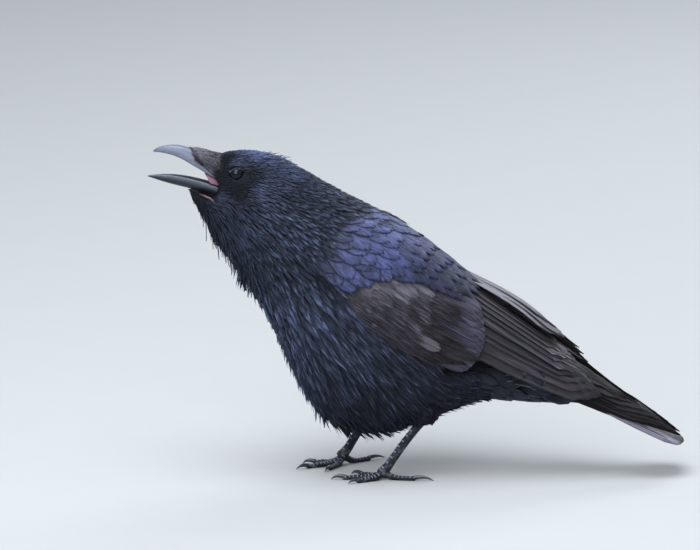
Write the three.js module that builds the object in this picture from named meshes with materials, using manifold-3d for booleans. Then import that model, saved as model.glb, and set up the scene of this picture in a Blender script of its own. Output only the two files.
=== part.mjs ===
// A carrion crow at life size, standing and calling: the body leans forward over bent legs,
// the bill is open, the wings are folded and the tail points down behind.
// Units are millimetres. The bird looks along -X, its left side is -Y, and +Z is up.
// The feathered outline is modelled, out to the tips of the feathers, as a still figure in named solids.
import * as THREE from "three";
import { mergeVertices } from "three/addons/utils/BufferGeometryUtils.js";
import Module from "manifold-3d";

const wasm = await Module();
wasm.setup();

// ---------------------------------------------------------------- driving dimensions
const GAP = 0.35; // clear space between neighbouring solids
const ORIGIN_X = 52.2; // where the middle of the bird's length falls in the drawing's own X
const FEATHER_THICK = 1.3; // a layer of overlapping large feathers
const PLEAT = 0.5; // how far each large feather stands proud of the next
const LAYER = 2.8; // from one layer of wing feathers down to the next
const TUCK = 5; // how deep the wing's leading feathers are tucked under the body's
const TAIL_THICK = 2.6;
const EYE_RADIUS = 6.6;
const EYE_CENTRE = { x: -88, y: 12.6, z: 241.2 };
const TOE_RADIUS = 2.9;
const CLAW_RADIUS = 1.8;
const PAD_DROP = 0.55; // how much of each toe's round underside is flattened by the ground

// Cross-sections of the feathered body from the nasal bristles to the undertail coverts.
// top and bottom are [x, z] in the middle plane, half is half the width, level is the share of the
// way down at which the section is widest, and full is the superellipse exponent (2 is an ellipse).
const BODY = [
  { name: "bristles", top: [-124, 260.6], bottom: [-127.5, 225.5], half: 6.5, level: 0.45, full: 2 },
  { name: "chin", top: [-113, 258.2], bottom: [-123.5, 220], half: 10.6, level: 0.45, full: 2.1 },
  { name: "lores", top: [-102, 254.8], bottom: [-119.5, 212.5], half: 13.6, level: 0.45, full: 2.2 },
  { name: "brow", top: [-93, 256.4], bottom: [-115.5, 205], half: 17.2, level: 0.42, full: 2.2 },
  { name: "crown", top: [-78, 257.2], bottom: [-112, 197], half: 20.3, level: 0.42, full: 2.1 },
  { name: "ear", top: [-61, 253.8], bottom: [-107, 188], half: 23.5, level: 0.45, full: 2.1 },
  { name: "nape", top: [-43, 245.5], bottom: [-98, 177], half: 27.5, level: 0.47, full: 2.1 },
  { name: "neck", top: [-22, 232.8], bottom: [-87, 162.5], half: 34, level: 0.48, full: 2.1 },
  { name: "collar", top: [1, 219.8], bottom: [-76, 146], half: 42, level: 0.48, full: 2.1 },
  { name: "shoulder", top: [25, 207.6], bottom: [-63.5, 124], half: 48, level: 0.47, full: 2.1 },
  { name: "breast", top: [44, 189], bottom: [-51, 99], half: 51, level: 0.47, full: 2.15 },
  { name: "flank", top: [61, 170], bottom: [-38, 70], half: 51, level: 0.46, full: 2.2 },
  { name: "belly", top: [77, 149.5], bottom: [-15, 43], half: 49, level: 0.46, full: 2.2 },
  { name: "thighs", top: [93, 130.5], bottom: [24, 35.5], half: 44, level: 0.46, full: 2.15 },
  { name: "vent", top: [111, 113], bottom: [64, 45.5], half: 36, level: 0.44, full: 2.1 },
  { name: "rump", top: [130, 96], bottom: [96, 59.5], half: 27, level: 0.42, full: 2 },
  { name: "undertail", top: [155, 77], bottom: [134, 57.5], half: 19, level: 0.4, full: 2 },
  { name: "covert_tips", top: [186, 62], bottom: [182, 56.5], half: 8, level: 0.4, full: 2 },
];
const HEAD_END = 6.6; // station numbers at which the body is parted
const NECK_END = 9;
const BODY_SIDES = 20;

// The roof that the folded wings make: ridge is the line where they meet over the back, half is the
// widest half width, and drop is how far below the ridge the widest line lies.
const ROOF = [
  { ridge: [-6, 222], drop: 47, half: 49 },
  { ridge: [42, 199.5], drop: 54, half: 59 },
  { ridge: [90, 165.5], drop: 52, half: 57 },
  { ridge: [133, 133], drop: 44, half: 46 },
  { ridge: [171, 98.5], drop: 31, half: 34 },
  { ridge: [206, 72], drop: 21, half: 25 },
  { ridge: [234, 52], drop: 14, half: 18 },
  { ridge: [260, 32.5], drop: 9, half: 12 },
];
const ROOF_LEAN = 31; // degrees from the horizontal to the folded wings' own axis
const RIGHT_WING_RISE = 8; // the right wing's inner feathers lie over the left's

// The tail's curved upper face, from under the rump to the feather tips.
const TAIL = [
  { ridge: [126, 97], drop: 6, half: 15 },
  { ridge: [160, 79.5], drop: 8, half: 20 },
  { ridge: [194, 61.5], drop: 8, half: 24 },
  { ridge: [228, 43], drop: 6.5, half: 26.5 },
  { ridge: [262, 26], drop: 4, half: 28 },
];
const TAIL_LEAN = 28;

// ---------------------------------------------------------------- solids
const vec = (x, y, z) => new THREE.Vector3(x, y, z);

function solidFrom(points, faces) {
  const vertProperties = new Float32Array(points.flatMap((p) => [p.x, p.y, p.z]));
  const make = (order) =>
    new wasm.Manifold(
      new wasm.Mesh({ numProp: 3, vertProperties, triVerts: new Uint32Array(order.flat()) }),
    );
  const solid = make(faces);
  return solid.volume() > 0 ? solid : make(faces.map(([a, b, c]) => [a, c, b]));
}

function solidOf(geometry) {
  const bare = geometry.clone();
  for (const name of ["normal", "uv"]) bare.deleteAttribute(name);
  const merged = mergeVertices(bare, 1e-4);
  return new wasm.Manifold(
    new wasm.Mesh({
      numProp: 3,
      vertProperties: merged.attributes.position.array,
      triVerts: new Uint32Array(merged.index.array),
    }),
  );
}

// Closes a stack of equal rings with a fan at each end.
function loft(rings) {
  const count = rings[0].length;
  const points = rings.flat();
  const faces = [];
  for (let r = 0; r < rings.length - 1; r++)
    for (let i = 0; i < count; i++) {
      const [a, b] = [r * count + i, r * count + ((i + 1) % count)];
      faces.push([a, b, b + count], [a, b + count, a + count]);
    }
  for (const [ring, flip] of [[0, true], [rings.length - 1, false]]) {
    const centre = points.length;
    const middle = vec(0, 0, 0);
    rings[ring].forEach((p) => middle.addScaledVector(p, 1 / count));
    points.push(middle);
    for (let i = 0; i < count; i++) {
      const [a, b] = [ring * count + i, ring * count + ((i + 1) % count)];
      faces.push(flip ? [b, a, centre] : [a, b, centre]);
    }
  }
  return solidFrom(points, faces);
}

// Closes a thin sheet between an outer and an inner face, each a list of rows of points. The inner
// face may have fewer points to a row than the outer one.
function sheet(outer, inner) {
  const [across, under] = [outer[0].length, inner[0].length];
  const last = outer.length - 1;
  const out = (r, i) => r * across + i;
  const inn = (r, j) => outer.length * across + r * under + j;
  const faces = [];
  const quad = (a, b, c, d) => faces.push([a, b, c], [a, c, d]);
  for (let r = 0; r < last; r++) {
    for (let i = 0; i < across - 1; i++)
      quad(out(r, i), out(r, i + 1), out(r + 1, i + 1), out(r + 1, i));
    for (let j = 0; j < under - 1; j++)
      quad(inn(r, j), inn(r + 1, j), inn(r + 1, j + 1), inn(r, j + 1));
    quad(out(r, 0), out(r + 1, 0), inn(r + 1, 0), inn(r, 0));
    quad(out(r + 1, across - 1), out(r, across - 1), inn(r, under - 1), inn(r + 1, under - 1));
  }
  for (const [r, flip] of [[0, false], [last, true]]) {
    let [i, j] = [0, 0];
    while (i < across - 1 || j < under - 1) {
      const outerNext = j === under - 1 || (i + 1) / (across - 1) <= (j + 1) / (under - 1);
      const face = outerNext
        ? [out(r, i + 1), out(r, i), inn(r, j)]
        : [inn(r, j), inn(r, j + 1), out(r, i)];
      faces.push(flip ? face.reverse() : face);
      if (outerNext) i++;
      else j++;
    }
  }
  return solidFrom([...outer.flat(), ...inner.flat()], faces);
}

// A side-view outline of [x, z] points, made into a slab across the body.
function prism(outline, from, to) {
  const shape = new THREE.Shape(outline.map(([x, z]) => new THREE.Vector2(x, z)));
  const slab = new THREE.ExtrudeGeometry(shape, { depth: to - from, bevelEnabled: false });
  slab.rotateX(Math.PI / 2);
  slab.translate(0, to, 0);
  return solidOf(slab);
}

const ease = (share, from, to) => THREE.MathUtils.smoothstep(share, from, to);
const cut = (solid, ...tools) => tools.reduce((rest, tool) => rest.subtract(tool), solid);
const largest = (solid) =>
  solid.decompose().reduce((best, one) => (one.volume() > best.volume() ? one : best));

// A smooth curve through values at equally spaced stations, read by station number.
function track(values) {
  const curve = new THREE.CatmullRomCurve3(
    values.map(([a, b = 0, c = 0]) => vec(a, b, c)),
    false,
    "centripetal",
  );
  return (station) => curve.getPoint(station / (values.length - 1));
}

// ---------------------------------------------------------------- the feathered body
const bodyTop = track(BODY.map((s) => s.top));
const bodyBottom = track(BODY.map((s) => s.bottom));
const bodyShape = track(BODY.map((s) => [s.half, s.level, s.full]));

function bodyPoint(station, angle, grow = 0) {
  const [top, bottom, shape] = [bodyTop(station), bodyBottom(station), bodyShape(station)];
  const down = bottom.clone().sub(top);
  const depth = down.length();
  down.normalize();
  const centre = top.clone().addScaledVector(down, depth * shape.y);
  const bend = (value) => Math.sign(value) * Math.abs(value) ** (2 / shape.z);
  const [up, side] = [bend(Math.cos(angle)), bend(Math.sin(angle))];
  const reach = depth * (up > 0 ? shape.y : 1 - shape.y) + grow;
  centre.addScaledVector(down, -up * reach);
  return vec(centre.x, side * (shape.x + grow), centre.y);
}

function bodyLength(from, to, ringCount, grow = 0) {
  const rings = [];
  for (let r = 0; r < ringCount; r++) {
    const station = THREE.MathUtils.lerp(from, to, r / (ringCount - 1));
    const ring = [];
    for (let i = 0; i < BODY_SIDES; i++)
      ring.push(bodyPoint(station, (i / BODY_SIDES) * 2 * Math.PI, grow));
    rings.push(ring);
  }
  return loft(rings);
}
const THIN_CUT = 0.03; // half the cut between two lengths of the body, in stations
const headLength = () => bodyLength(0, HEAD_END, 12);
const neckLength = (grow) => bodyLength(HEAD_END + THIN_CUT, NECK_END - THIN_CUT, 5, grow);
const trunkLength = (grow) => bodyLength(NECK_END, BODY.length - 1, 14, grow);

// ---------------------------------------------------------------- large feathers
// A surface that large feathers lie on: an arch under a ridge line. It is read by the share of the
// way along, the angle round from the ridge and the lift above the surface.
function arch(stations, leanDegrees) {
  const ridge = track(stations.map((s) => s.ridge));
  const shape = track(stations.map((s) => [s.drop, s.half]));
  const lean = THREE.MathUtils.degToRad(leanDegrees);
  const last = stations.length - 1;
  return (along, angle, lift) => {
    const { x: topX, y: topZ } = ridge(along * last);
    const { x: drop, y: half } = shape(along * last);
    const [sin, cos] = [Math.sin(angle), Math.cos(angle)];
    const steep = Math.hypot(drop * sin, half * cos);
    const up = -drop * (1 - cos) + (lift * half * cos) / steep;
    const out = half * sin + (lift * drop * sin) / steep;
    return vec(topX + Math.sin(lean) * up, out, topZ + Math.cos(lean) * up);
  };
}
const roof = arch(ROOF, ROOF_LEAN);
const tailArch = arch(TAIL, TAIL_LEAN);

// A fan of overlapping large feathers as one pleated sheet on an arch, edge to edge.
// Each feather has a root and a tip, [along, degrees round from the ridge], and stands proud along
// the edge that overlaps its neighbour. top is the sheet's outer level at a place on the arch.
const ROUND_TIP = 0.025; // how far a feather's corners fall short of its tip, as a share of the arch
const OUTER_FACE = [
  { across: -0.96, proud: 1, short: 1 },
  { across: 0.1, proud: 0.7, short: 0 },
  { across: 0.96, proud: 0, short: 1 },
];
const INNER_FACE = [
  { across: -0.96, proud: 0, short: 1 },
  { across: 0.1, proud: 0, short: 0 },
];
function fan(surface, side, feathers, top, { rows, thick, pleat = PLEAT }) {
  const last = feathers.length - 1;
  const radians = THREE.MathUtils.degToRad;
  const halfAngle = (end, k) => {
    const [before, after] = [Math.max(k - 1, 0), Math.min(k + 1, last)];
    return (radians(feathers[after][end][1] - feathers[before][end][1]) / (after - before)) * 0.5;
  };
  const linesOf = (columns) =>
    feathers.flatMap(({ root, tip }, k) =>
      columns.map(({ across, proud, short }) => ({
        from: [root[0], radians(root[1]) + across * halfAngle("root", k)],
        to: [tip[0] - short * ROUND_TIP, radians(tip[1]) + across * halfAngle("tip", k)],
        proud: proud * pleat,
      })),
    );
  const outer = linesOf(OUTER_FACE);
  const inner = [...linesOf(INNER_FACE), outer[outer.length - 1]];
  const [above, below] = [[], []];
  for (let r = 0; r < rows; r++) {
    const share = 1 - (1 - r / (rows - 1)) ** 1.2;
    const put = ({ from, to, proud }, depth) => {
      const along = THREE.MathUtils.lerp(from[0], to[0], share);
      const angle = THREE.MathUtils.lerp(from[1], to[1], share);
      return surface(along, side * angle, top(along, angle) + (depth ? -depth : proud));
    };
    above.push(outer.map((line) => put(line, 0)));
    below.push(inner.map((line) => put(line, thick)));
  }
  return sheet(above, below);
}

// ---------------------------------------------------------------- folded wings
// Layers lie under one another towards the front and come up to the outside as the upper ones end.
// k runs from 0 at the feather nearest the ridge to 1 at the lowest, and follow is the share of the
// right wing's rise that a layer takes up.
const WING_LAYERS = {
  scapulars: {
    count: 6,
    rows: 5,
    root: (k) => [0.02 - 0.02 * k, 14 + 74 * k],
    tip: (k) => [0.345 - 0.23 * k ** 3, 10 + 84 * k],
    top: (along) => -TUCK * (1 - ease(along, 0, 0.08)),
  },
  coverts: {
    count: 7,
    rows: 4,
    root: (k) => [0.14 - 0.05 * Math.sin(Math.PI * k), 48 + 66 * k],
    tip: (k) => [0.355 + 0.05 * Math.sin(Math.PI * k), 44 + 62 * k],
    top: (along) => -LAYER - TUCK * (1 - ease(along, 0.09, 0.18)),
  },
  secondaries: {
    count: 7,
    rows: 6,
    root: (k) => [0.16 + 0.1 * k, 20 + 74 * k],
    tip: (k) => [0.585 + 0.12 * k, 8 + 62 * k],
    top: (along) => LAYER * (2 * ease(along, 0.38, 0.66) - 2),
  },
  primaries: {
    count: 7,
    rows: 6,
    root: (k) => [0.28, 44 + 55 * k],
    tip: (k) => [0.76 + 0.24 * Math.sin(2.3 * k), 14 + 38 * k],
    top: (along) => LAYER * (2 * ease(along, 0.38, 0.66) + ease(along, 0.72, 0.9) - 3),
    follow: 0.5,
  },
};

function wingLayer(layer, side) {
  const { count, rows, root, tip, top, follow = 1 } = WING_LAYERS[layer];
  const feathers = [];
  for (let i = 0; i < count; i++)
    feathers.push({ root: root(i / (count - 1)), tip: tip(i / (count - 1)) });
  const lifted = (along, angle) => {
    const overlap = ease(along, 0.25, 0.45) * (1 - ease(along, 0.6, 0.75)) * Math.cos(angle) ** 2;
    return top(along) + (side > 0 ? RIGHT_WING_RISE * overlap * follow : 0);
  };
  return fan(roof, side, feathers, lifted, { rows, thick: FEATHER_THICK });
}

// ---------------------------------------------------------------- tail
const RECTRICES = 12;
function rectrices(count, top, shape) {
  const feathers = [];
  for (let i = 0; i < count; i++) {
    const out = (2 * i) / (count - 1) - 1;
    const reach = 1 - 0.5 / count;
    feathers.push({ root: [0, 62 * out * reach], tip: [1 - 0.05 * out ** 2, 84 * out * reach] });
  }
  return fan(tailArch, 1, feathers, () => top, { rows: 4, ...shape });
}

// ---------------------------------------------------------------- bill and mouth
// Stations run from inside the face to the tip. ridge is the culmen or the keel, edge the cutting
// edge, both [x, z], and half the half width there.
const UPPER_BILL = [
  { ridge: [-100, 250.5], edge: [-101, 233.5], half: 8.6 },
  { ridge: [-111, 254.6], edge: [-111, 239.2], half: 7.8 },
  { ridge: [-123, 258.8], edge: [-121.5, 245.4], half: 6.4 },
  { ridge: [-134, 261.4], edge: [-132.5, 251.6], half: 4.8 },
  { ridge: [-143.5, 261], edge: [-142.5, 254.8], half: 3.1 },
  { ridge: [-150, 259], edge: [-149.5, 255.8], half: 1.7 },
  { ridge: [-153.4, 256.9], edge: [-153.3, 255.9], half: 0.6 },
];
const LOWER_BILL = [
  { ridge: [-103, 219.2], edge: [-101, 229.3], half: 8.4 },
  { ridge: [-114, 223.6], edge: [-112, 232.6], half: 7.3 },
  { ridge: [-125, 227], edge: [-124, 235.7], half: 5.7 },
  { ridge: [-137, 230], edge: [-136, 237.7], half: 4.2 },
  { ridge: [-147, 232.9], edge: [-146.5, 238.1], half: 2.7 },
  { ridge: [-154, 235.3], edge: [-153.8, 237.6], half: 1.4 },
  { ridge: [-157.8, 236.5], edge: [-157.8, 237.2], half: 0.5 },
];
const HOLLOW = 0.42; // the inner face's depth as a share of a mandible's height

function mandible(stations, grow = 0) {
  const ridge = track(stations.map((s) => s.ridge));
  const edge = track(stations.map((s) => s.edge));
  const width = track(stations.map((s) => [s.half]));
  const [ringCount, arc, inner] = [10, 6, 4];
  const rings = [];
  for (let r = 0; r < ringCount; r++) {
    const station = (r / (ringCount - 1)) * (stations.length - 1);
    const [top, low, half] = [ridge(station), edge(station), width(station).x + grow];
    const rise = top.clone().sub(low);
    const height = rise.length() + grow;
    rise.normalize();
    const put = (across, share) => {
      const lift = height * share - grow * (1 - share);
      return vec(low.x + rise.x * lift, half * across, low.y + rise.y * lift);
    };
    const ring = [];
    for (let i = 0; i <= arc; i++) {
      const angle = -Math.PI / 2 + (Math.PI * i) / arc;
      ring.push(put(Math.sin(angle), Math.cos(angle) ** 0.85));
    }
    for (let i = 1; i < inner; i++) {
      const across = 1 - (2 * i) / inner;
      const hollow = grow > 0 ? 0 : HOLLOW * (1 - across * across);
      ring.push(put(across * 0.86, hollow));
    }
    rings.push(ring);
  }
  return loft(rings);
}

// The gape seen from the side: everything in front of this line is bare bill or open air.
const FACE_LINE = [
  [-124.5, 266],
  [-123.5, 259.5],
  [-118, 250],
  [-103, 238],
  [-98.5, 231],
  [-104, 221.5],
  [-127, 228],
  [-136, 222],
];
const MOUTH_FRONT = [
  [-97, 224],
  [-108, 224],
  [-108.7, 232],
  [-110.7, 236],
  [-115, 242.5],
  [-97, 242.5],
];

// The tongue lies in the lower mandible's trough, from the floor of the mouth to its pointed tip.
const TONGUE = [
  { x: -112, z: 230.6 },
  { x: -119, z: 232.6 },
  { x: -127, z: 234.4 },
  { x: -134, z: 236 },
];
const TONGUE_RADIUS = 1.9;
const TONGUE_WIDE = 1.6;
function tongue(grow = 0) {
  const line = TONGUE.map(({ x, z }) => vec(x, 0, z));
  const size = (share) => TONGUE_RADIUS * (1 - 0.65 * share ** 2) + grow;
  return limb(line, size, { rings: 5, sides: 8, wide: TONGUE_WIDE });
}

// A round-sectioned piece along a curve, with a radius read at each share of its length.
function limb(points, radius, { rings = 8, sides = 10, wide = 1 } = {}) {
  const curve = new THREE.CatmullRomCurve3(points, false, "centripetal");
  const made = [];
  const across = vec(0, 1, 0);
  for (let r = 0; r < rings; r++) {
    const share = r / (rings - 1);
    const middle = curve.getPointAt(share);
    const ahead = curve.getTangentAt(share);
    const level = across.clone().addScaledVector(ahead, -across.dot(ahead));
    if (level.length() < 0.05) level.set(1, 0, 0).addScaledVector(ahead, -ahead.x);
    level.normalize();
    const rise = ahead.clone().cross(level);
    const ring = [];
    for (let i = 0; i < sides; i++) {
      const angle = ((i + 0.5) / sides) * 2 * Math.PI;
      const size = radius(share);
      ring.push(
        middle
          .clone()
          .addScaledVector(level, Math.cos(angle) * size * wide)
          .addScaledVector(rise, Math.sin(angle) * size),
      );
    }
    made.push(ring);
  }
  return loft(made);
}

// ---------------------------------------------------------------- legs and feet
// Each leg is placed by its knee, its heel and the root of its toes, as [x, y, z]. Each toe heads
// so many degrees outwards from straight ahead, and turn is added to all the toes of a foot.
const LEGS = {
  left: { foot: [26.5, -26, 6.6], heel: [62, -25, 54], knee: [38, -22, 74], turn: 0 },
  right: { foot: [-5, 26, 8.2], heel: [29, 24, 59], knee: [14, 20, 76], turn: -26 },
};
const TOES = {
  middle: { heading: 0, length: 32, claw: 10 },
  inner: { heading: -36, length: 23, claw: 9 },
  outer: { heading: 30, length: 24, claw: 9 },
  hind: { heading: 172, length: 25, claw: 15 },
};
const HEEL_RADIUS = 4.4;
const SHANK_RADIUS = 3.4;
const SHANK_WIDE = 0.8; // the shank is narrower from the front than from the side
const FOOT_RADIUS = 4.8;
const THIGH_RADIUS = 14;
const CUFF_RADIUS = 6.2; // leg feathers round the top of the shank
const CUFF_REACH = 0.33; // how far down the shank they reach, as a share of its length

function shank({ foot, heel }, grow = 0) {
  const [from, to] = [vec(...heel), vec(...foot)];
  const line = [
    from,
    from.clone().lerp(to, 0.5).add(vec(-1, 0, 0)),
    to,
    to.clone().add(vec(-2.5, 0, -2.5)),
  ];
  const radius = (share) =>
    SHANK_RADIUS +
    (HEEL_RADIUS - SHANK_RADIUS) * (1 - ease(share, 0, 0.22)) +
    (FOOT_RADIUS - SHANK_RADIUS) * ease(share, 0.78, 1) +
    grow;
  return limb(line, radius, { rings: 8, sides: 8, wide: SHANK_WIDE });
}

// The floor, as a block whose top is at level 0.
const GROUND = prism([[-400, -60], [400, -60], [400, 0], [-400, 0]], -200, 200);

// A point at a height over the ground, some way out from the root of the toes along one toe.
function toeReach(side, { foot, turn }, heading) {
  const outwards = THREE.MathUtils.degToRad(heading + turn);
  const [dx, dy] = [-Math.cos(outwards), side * Math.sin(outwards)];
  return (reach, z) => vec(foot[0] + dx * reach, foot[1] + dy * reach, z);
}

// A toe swells at each joint, lies along the ground and is flattened where it touches.
function toe(side, leg, { heading, length }, grow = 0) {
  const at = toeReach(side, leg, heading);
  const joints = heading > 90 ? 1 : 3;
  const size = (share) => {
    const swell = 0.93 + 0.09 * Math.cos(2 * Math.PI * joints * share);
    return TOE_RADIUS * (1 - 0.3 * share) * swell;
  };
  const line = [
    at(1.5, leg.foot[2] - 2.2),
    at(length * 0.35, size(0.35) - PAD_DROP + 0.1),
    at(length * 0.7, size(0.7) - PAD_DROP),
    at(length + grow, size(1) - PAD_DROP),
  ];
  const rings = heading > 90 ? 5 : 7;
  return limb(line, (share) => size(share) + grow, { rings, sides: 8 }).subtract(GROUND);
}

function claw(side, leg, { heading, length, claw: reach }) {
  const at = toeReach(side, leg, heading);
  const line = [
    at(length, 2),
    at(length + reach * 0.3, 3),
    at(length + reach * 0.65, 2.6),
    at(length + reach * 0.92, 0.4),
  ];
  const size = (share) => CLAW_RADIUS * (1 - 0.8 * share);
  return limb(line, size, { rings: 4, sides: 5, wide: 0.8 }).subtract(GROUND);
}

// The feathered drumstick, from inside the belly down over the heel.
function drumstick({ foot, heel, knee }) {
  const [from, to] = [vec(...knee), vec(...heel)];
  const line = [from, to, to.clone().lerp(vec(...foot), CUFF_REACH)];
  const size = (share) => THIGH_RADIUS - (THIGH_RADIUS - CUFF_RADIUS) * share ** 1.5;
  return limb(line, size, { rings: 6, sides: 10 });
}

// ---------------------------------------------------------------- assembly
const materials = {
  contour: { color: 0x15171d, roughness: 0.55, metalness: 0 },
  flight: { color: 0x221e1f, roughness: 0.5, metalness: 0 },
  gloss: { color: 0x1c1e33, roughness: 0.4, metalness: 0 },
  horn: { color: 0x24262b, roughness: 0.35, metalness: 0 },
  mouth: { color: 0x9c4f5c, roughness: 0.4, metalness: 0 },
  scale: { color: 0x1d1f25, roughness: 0.5, metalness: 0 },
  eye: { color: 0x120d0a, roughness: 0.05, metalness: 0 },
};
const crow = new THREE.Group();
crow.position.set(-ORIGIN_X, 0, 0);

function add(name, solid, material) {
  const mesh = solid.getMesh();
  const stride = mesh.numProp;
  const position = new Float32Array(mesh.numVert * 3);
  for (let i = 0; i < mesh.numVert; i++)
    position.set(mesh.vertProperties.subarray(i * stride, i * stride + 3), i * 3);
  const geometry = new THREE.BufferGeometry()
    .setAttribute("position", new THREE.BufferAttribute(position, 3))
    .setIndex(new THREE.BufferAttribute(mesh.triVerts, 1));
  geometry.computeVertexNormals();
  const made = new THREE.Mesh(geometry, new THREE.MeshStandardMaterial(materials[material]));
  made.name = name;
  crow.add(made);
}

const ball = (radius, side) => {
  const sphere = new THREE.IcosahedronGeometry(radius, 2);
  sphere.translate(EYE_CENTRE.x, side * EYE_CENTRE.y, EYE_CENTRE.z);
  return solidOf(sphere);
};

// Bill, mouth and tongue
const MOUTH_HALF = 6.8;
const mouthBlock = (grow = 0) => prism(MOUTH_FRONT, -MOUTH_HALF - grow, MOUTH_HALF + grow);
const billRoom = [mandible(UPPER_BILL, GAP), mandible(LOWER_BILL, GAP)];
add("bill_upper", mandible(UPPER_BILL), "horn");
add("bill_lower", largest(cut(mandible(LOWER_BILL), tongue(GAP))), "horn");
add("mouth_lining", largest(cut(mouthBlock(), ...billRoom)), "mouth");
add("tongue", largest(cut(tongue(), mouthBlock(GAP))), "mouth");

// Head, eyes and neck
const faceRegion = prism([...FACE_LINE, [-180, 215], [-180, 280], [-124.5, 280]], -60, 60);
const eyeRoom = [ball(EYE_RADIUS + GAP, -1), ball(EYE_RADIUS + GAP, 1)];
const head = cut(headLength(), faceRegion, ...billRoom, mouthBlock(GAP), ...eyeRoom);
add("head", largest(head), "contour");
for (const side of [-1, 1]) add(side < 0 ? "eye_left" : "eye_right", ball(EYE_RADIUS, side), "eye");
add("neck", neckLength(), "contour");

// Tail, and the trunk with the leg feathers joined on and a slot for the tail's root
const slot = { thick: TAIL_THICK + PLEAT + 2 * GAP, pleat: 0 };
const tailSlot = rectrices(4, PLEAT + GAP, slot);
const [leftLeg, rightLeg] = Object.values(LEGS);
const shankRoom = [shank(leftLeg, GAP), shank(rightLeg, GAP)];
const leggedTrunk = trunkLength().add(drumstick(leftLeg)).add(drumstick(rightLeg));
add("trunk", largest(cut(leggedTrunk, tailSlot, ...shankRoom)), "contour");
add("tail_feathers", rectrices(RECTRICES, 0, { thick: TAIL_THICK }), "flight");

// Wings, which rest against the trunk
const collarRoom = bodyLength(NECK_END - 3 * THIN_CUT, NECK_END + 2 * THIN_CUT, 2, GAP);
const bodyRoom = [neckLength(GAP), trunkLength(GAP), collarRoom];
for (const side of [-1, 1]) {
  const word = side < 0 ? "left" : "right";
  for (const layer of Object.keys(WING_LAYERS)) {
    const made = cut(wingLayer(layer, side), ...bodyRoom, tailSlot);
    add("wing_" + word + "_" + layer, largest(made), layer === "scapulars" ? "gloss" : "flight");
  }
}

// Legs
for (const [word, leg] of Object.entries(LEGS)) {
  const side = word === "left" ? -1 : 1;
  add("shank_" + word, largest(cut(shank(leg), GROUND)), "scale");
  const taken = [shank(leg, GAP)]; // by the shank and the toes already made
  for (const [toeName, shape] of Object.entries(TOES)) {
    add("toe_" + word + "_" + toeName, largest(cut(toe(side, leg, shape), ...taken)), "scale");
    taken.push(toe(side, leg, shape, GAP));
    add("claw_" + word + "_" + toeName, largest(cut(claw(side, leg, shape), ...taken)), "horn");
  }
}

export default crow;
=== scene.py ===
"""A life-size crow that stands calling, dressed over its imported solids.

The solids give the outline. This script adds the skin, the plumage as solid vanes, the bill and
mouth, the eyes and lids, and the scaled feet with their claws. Lengths in the tables are in
millimetres and angles in degrees, and everything is made in metres.
"""

import math
from functools import cache

import bmesh
import bpy
import numpy as np
from bpy.props import FloatProperty, FloatVectorProperty, IntProperty, PointerProperty
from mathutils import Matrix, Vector
from mathutils.bvhtree import BVHTree


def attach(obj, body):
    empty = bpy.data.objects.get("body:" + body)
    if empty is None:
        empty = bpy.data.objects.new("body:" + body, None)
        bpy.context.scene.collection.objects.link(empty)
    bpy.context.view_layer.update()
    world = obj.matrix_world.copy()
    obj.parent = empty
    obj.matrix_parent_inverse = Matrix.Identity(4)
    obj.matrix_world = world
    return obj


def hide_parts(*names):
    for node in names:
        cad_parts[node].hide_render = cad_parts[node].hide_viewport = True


bl_info = {
    "name": "Calling crow",
    "version": (1, 0, 0),
    "blender": (4, 5, 0),
    "location": "3D View > Sidebar > Crow",
    "description": "Dresses the solids of a life-size crow in skin, feathers, horn and scales",
    "category": "Object",
}

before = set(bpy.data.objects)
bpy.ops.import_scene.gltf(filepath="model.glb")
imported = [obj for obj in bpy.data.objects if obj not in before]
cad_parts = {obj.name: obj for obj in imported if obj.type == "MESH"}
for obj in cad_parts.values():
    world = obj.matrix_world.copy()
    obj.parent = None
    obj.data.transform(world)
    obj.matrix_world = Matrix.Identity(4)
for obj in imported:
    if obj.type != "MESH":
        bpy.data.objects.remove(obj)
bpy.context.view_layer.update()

MM = 0.001
ORIGIN_X = 52.2  # the tables' own X at the middle of the bird's length
FLESH = ["head", "neck", "trunk"]
SIDES = {"left": -1, "right": 1}


def at(x, y, z):
    """A place in metres from the tables' millimetres."""
    return np.array([(x - ORIGIN_X) * MM, y * MM, z * MM])


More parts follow.
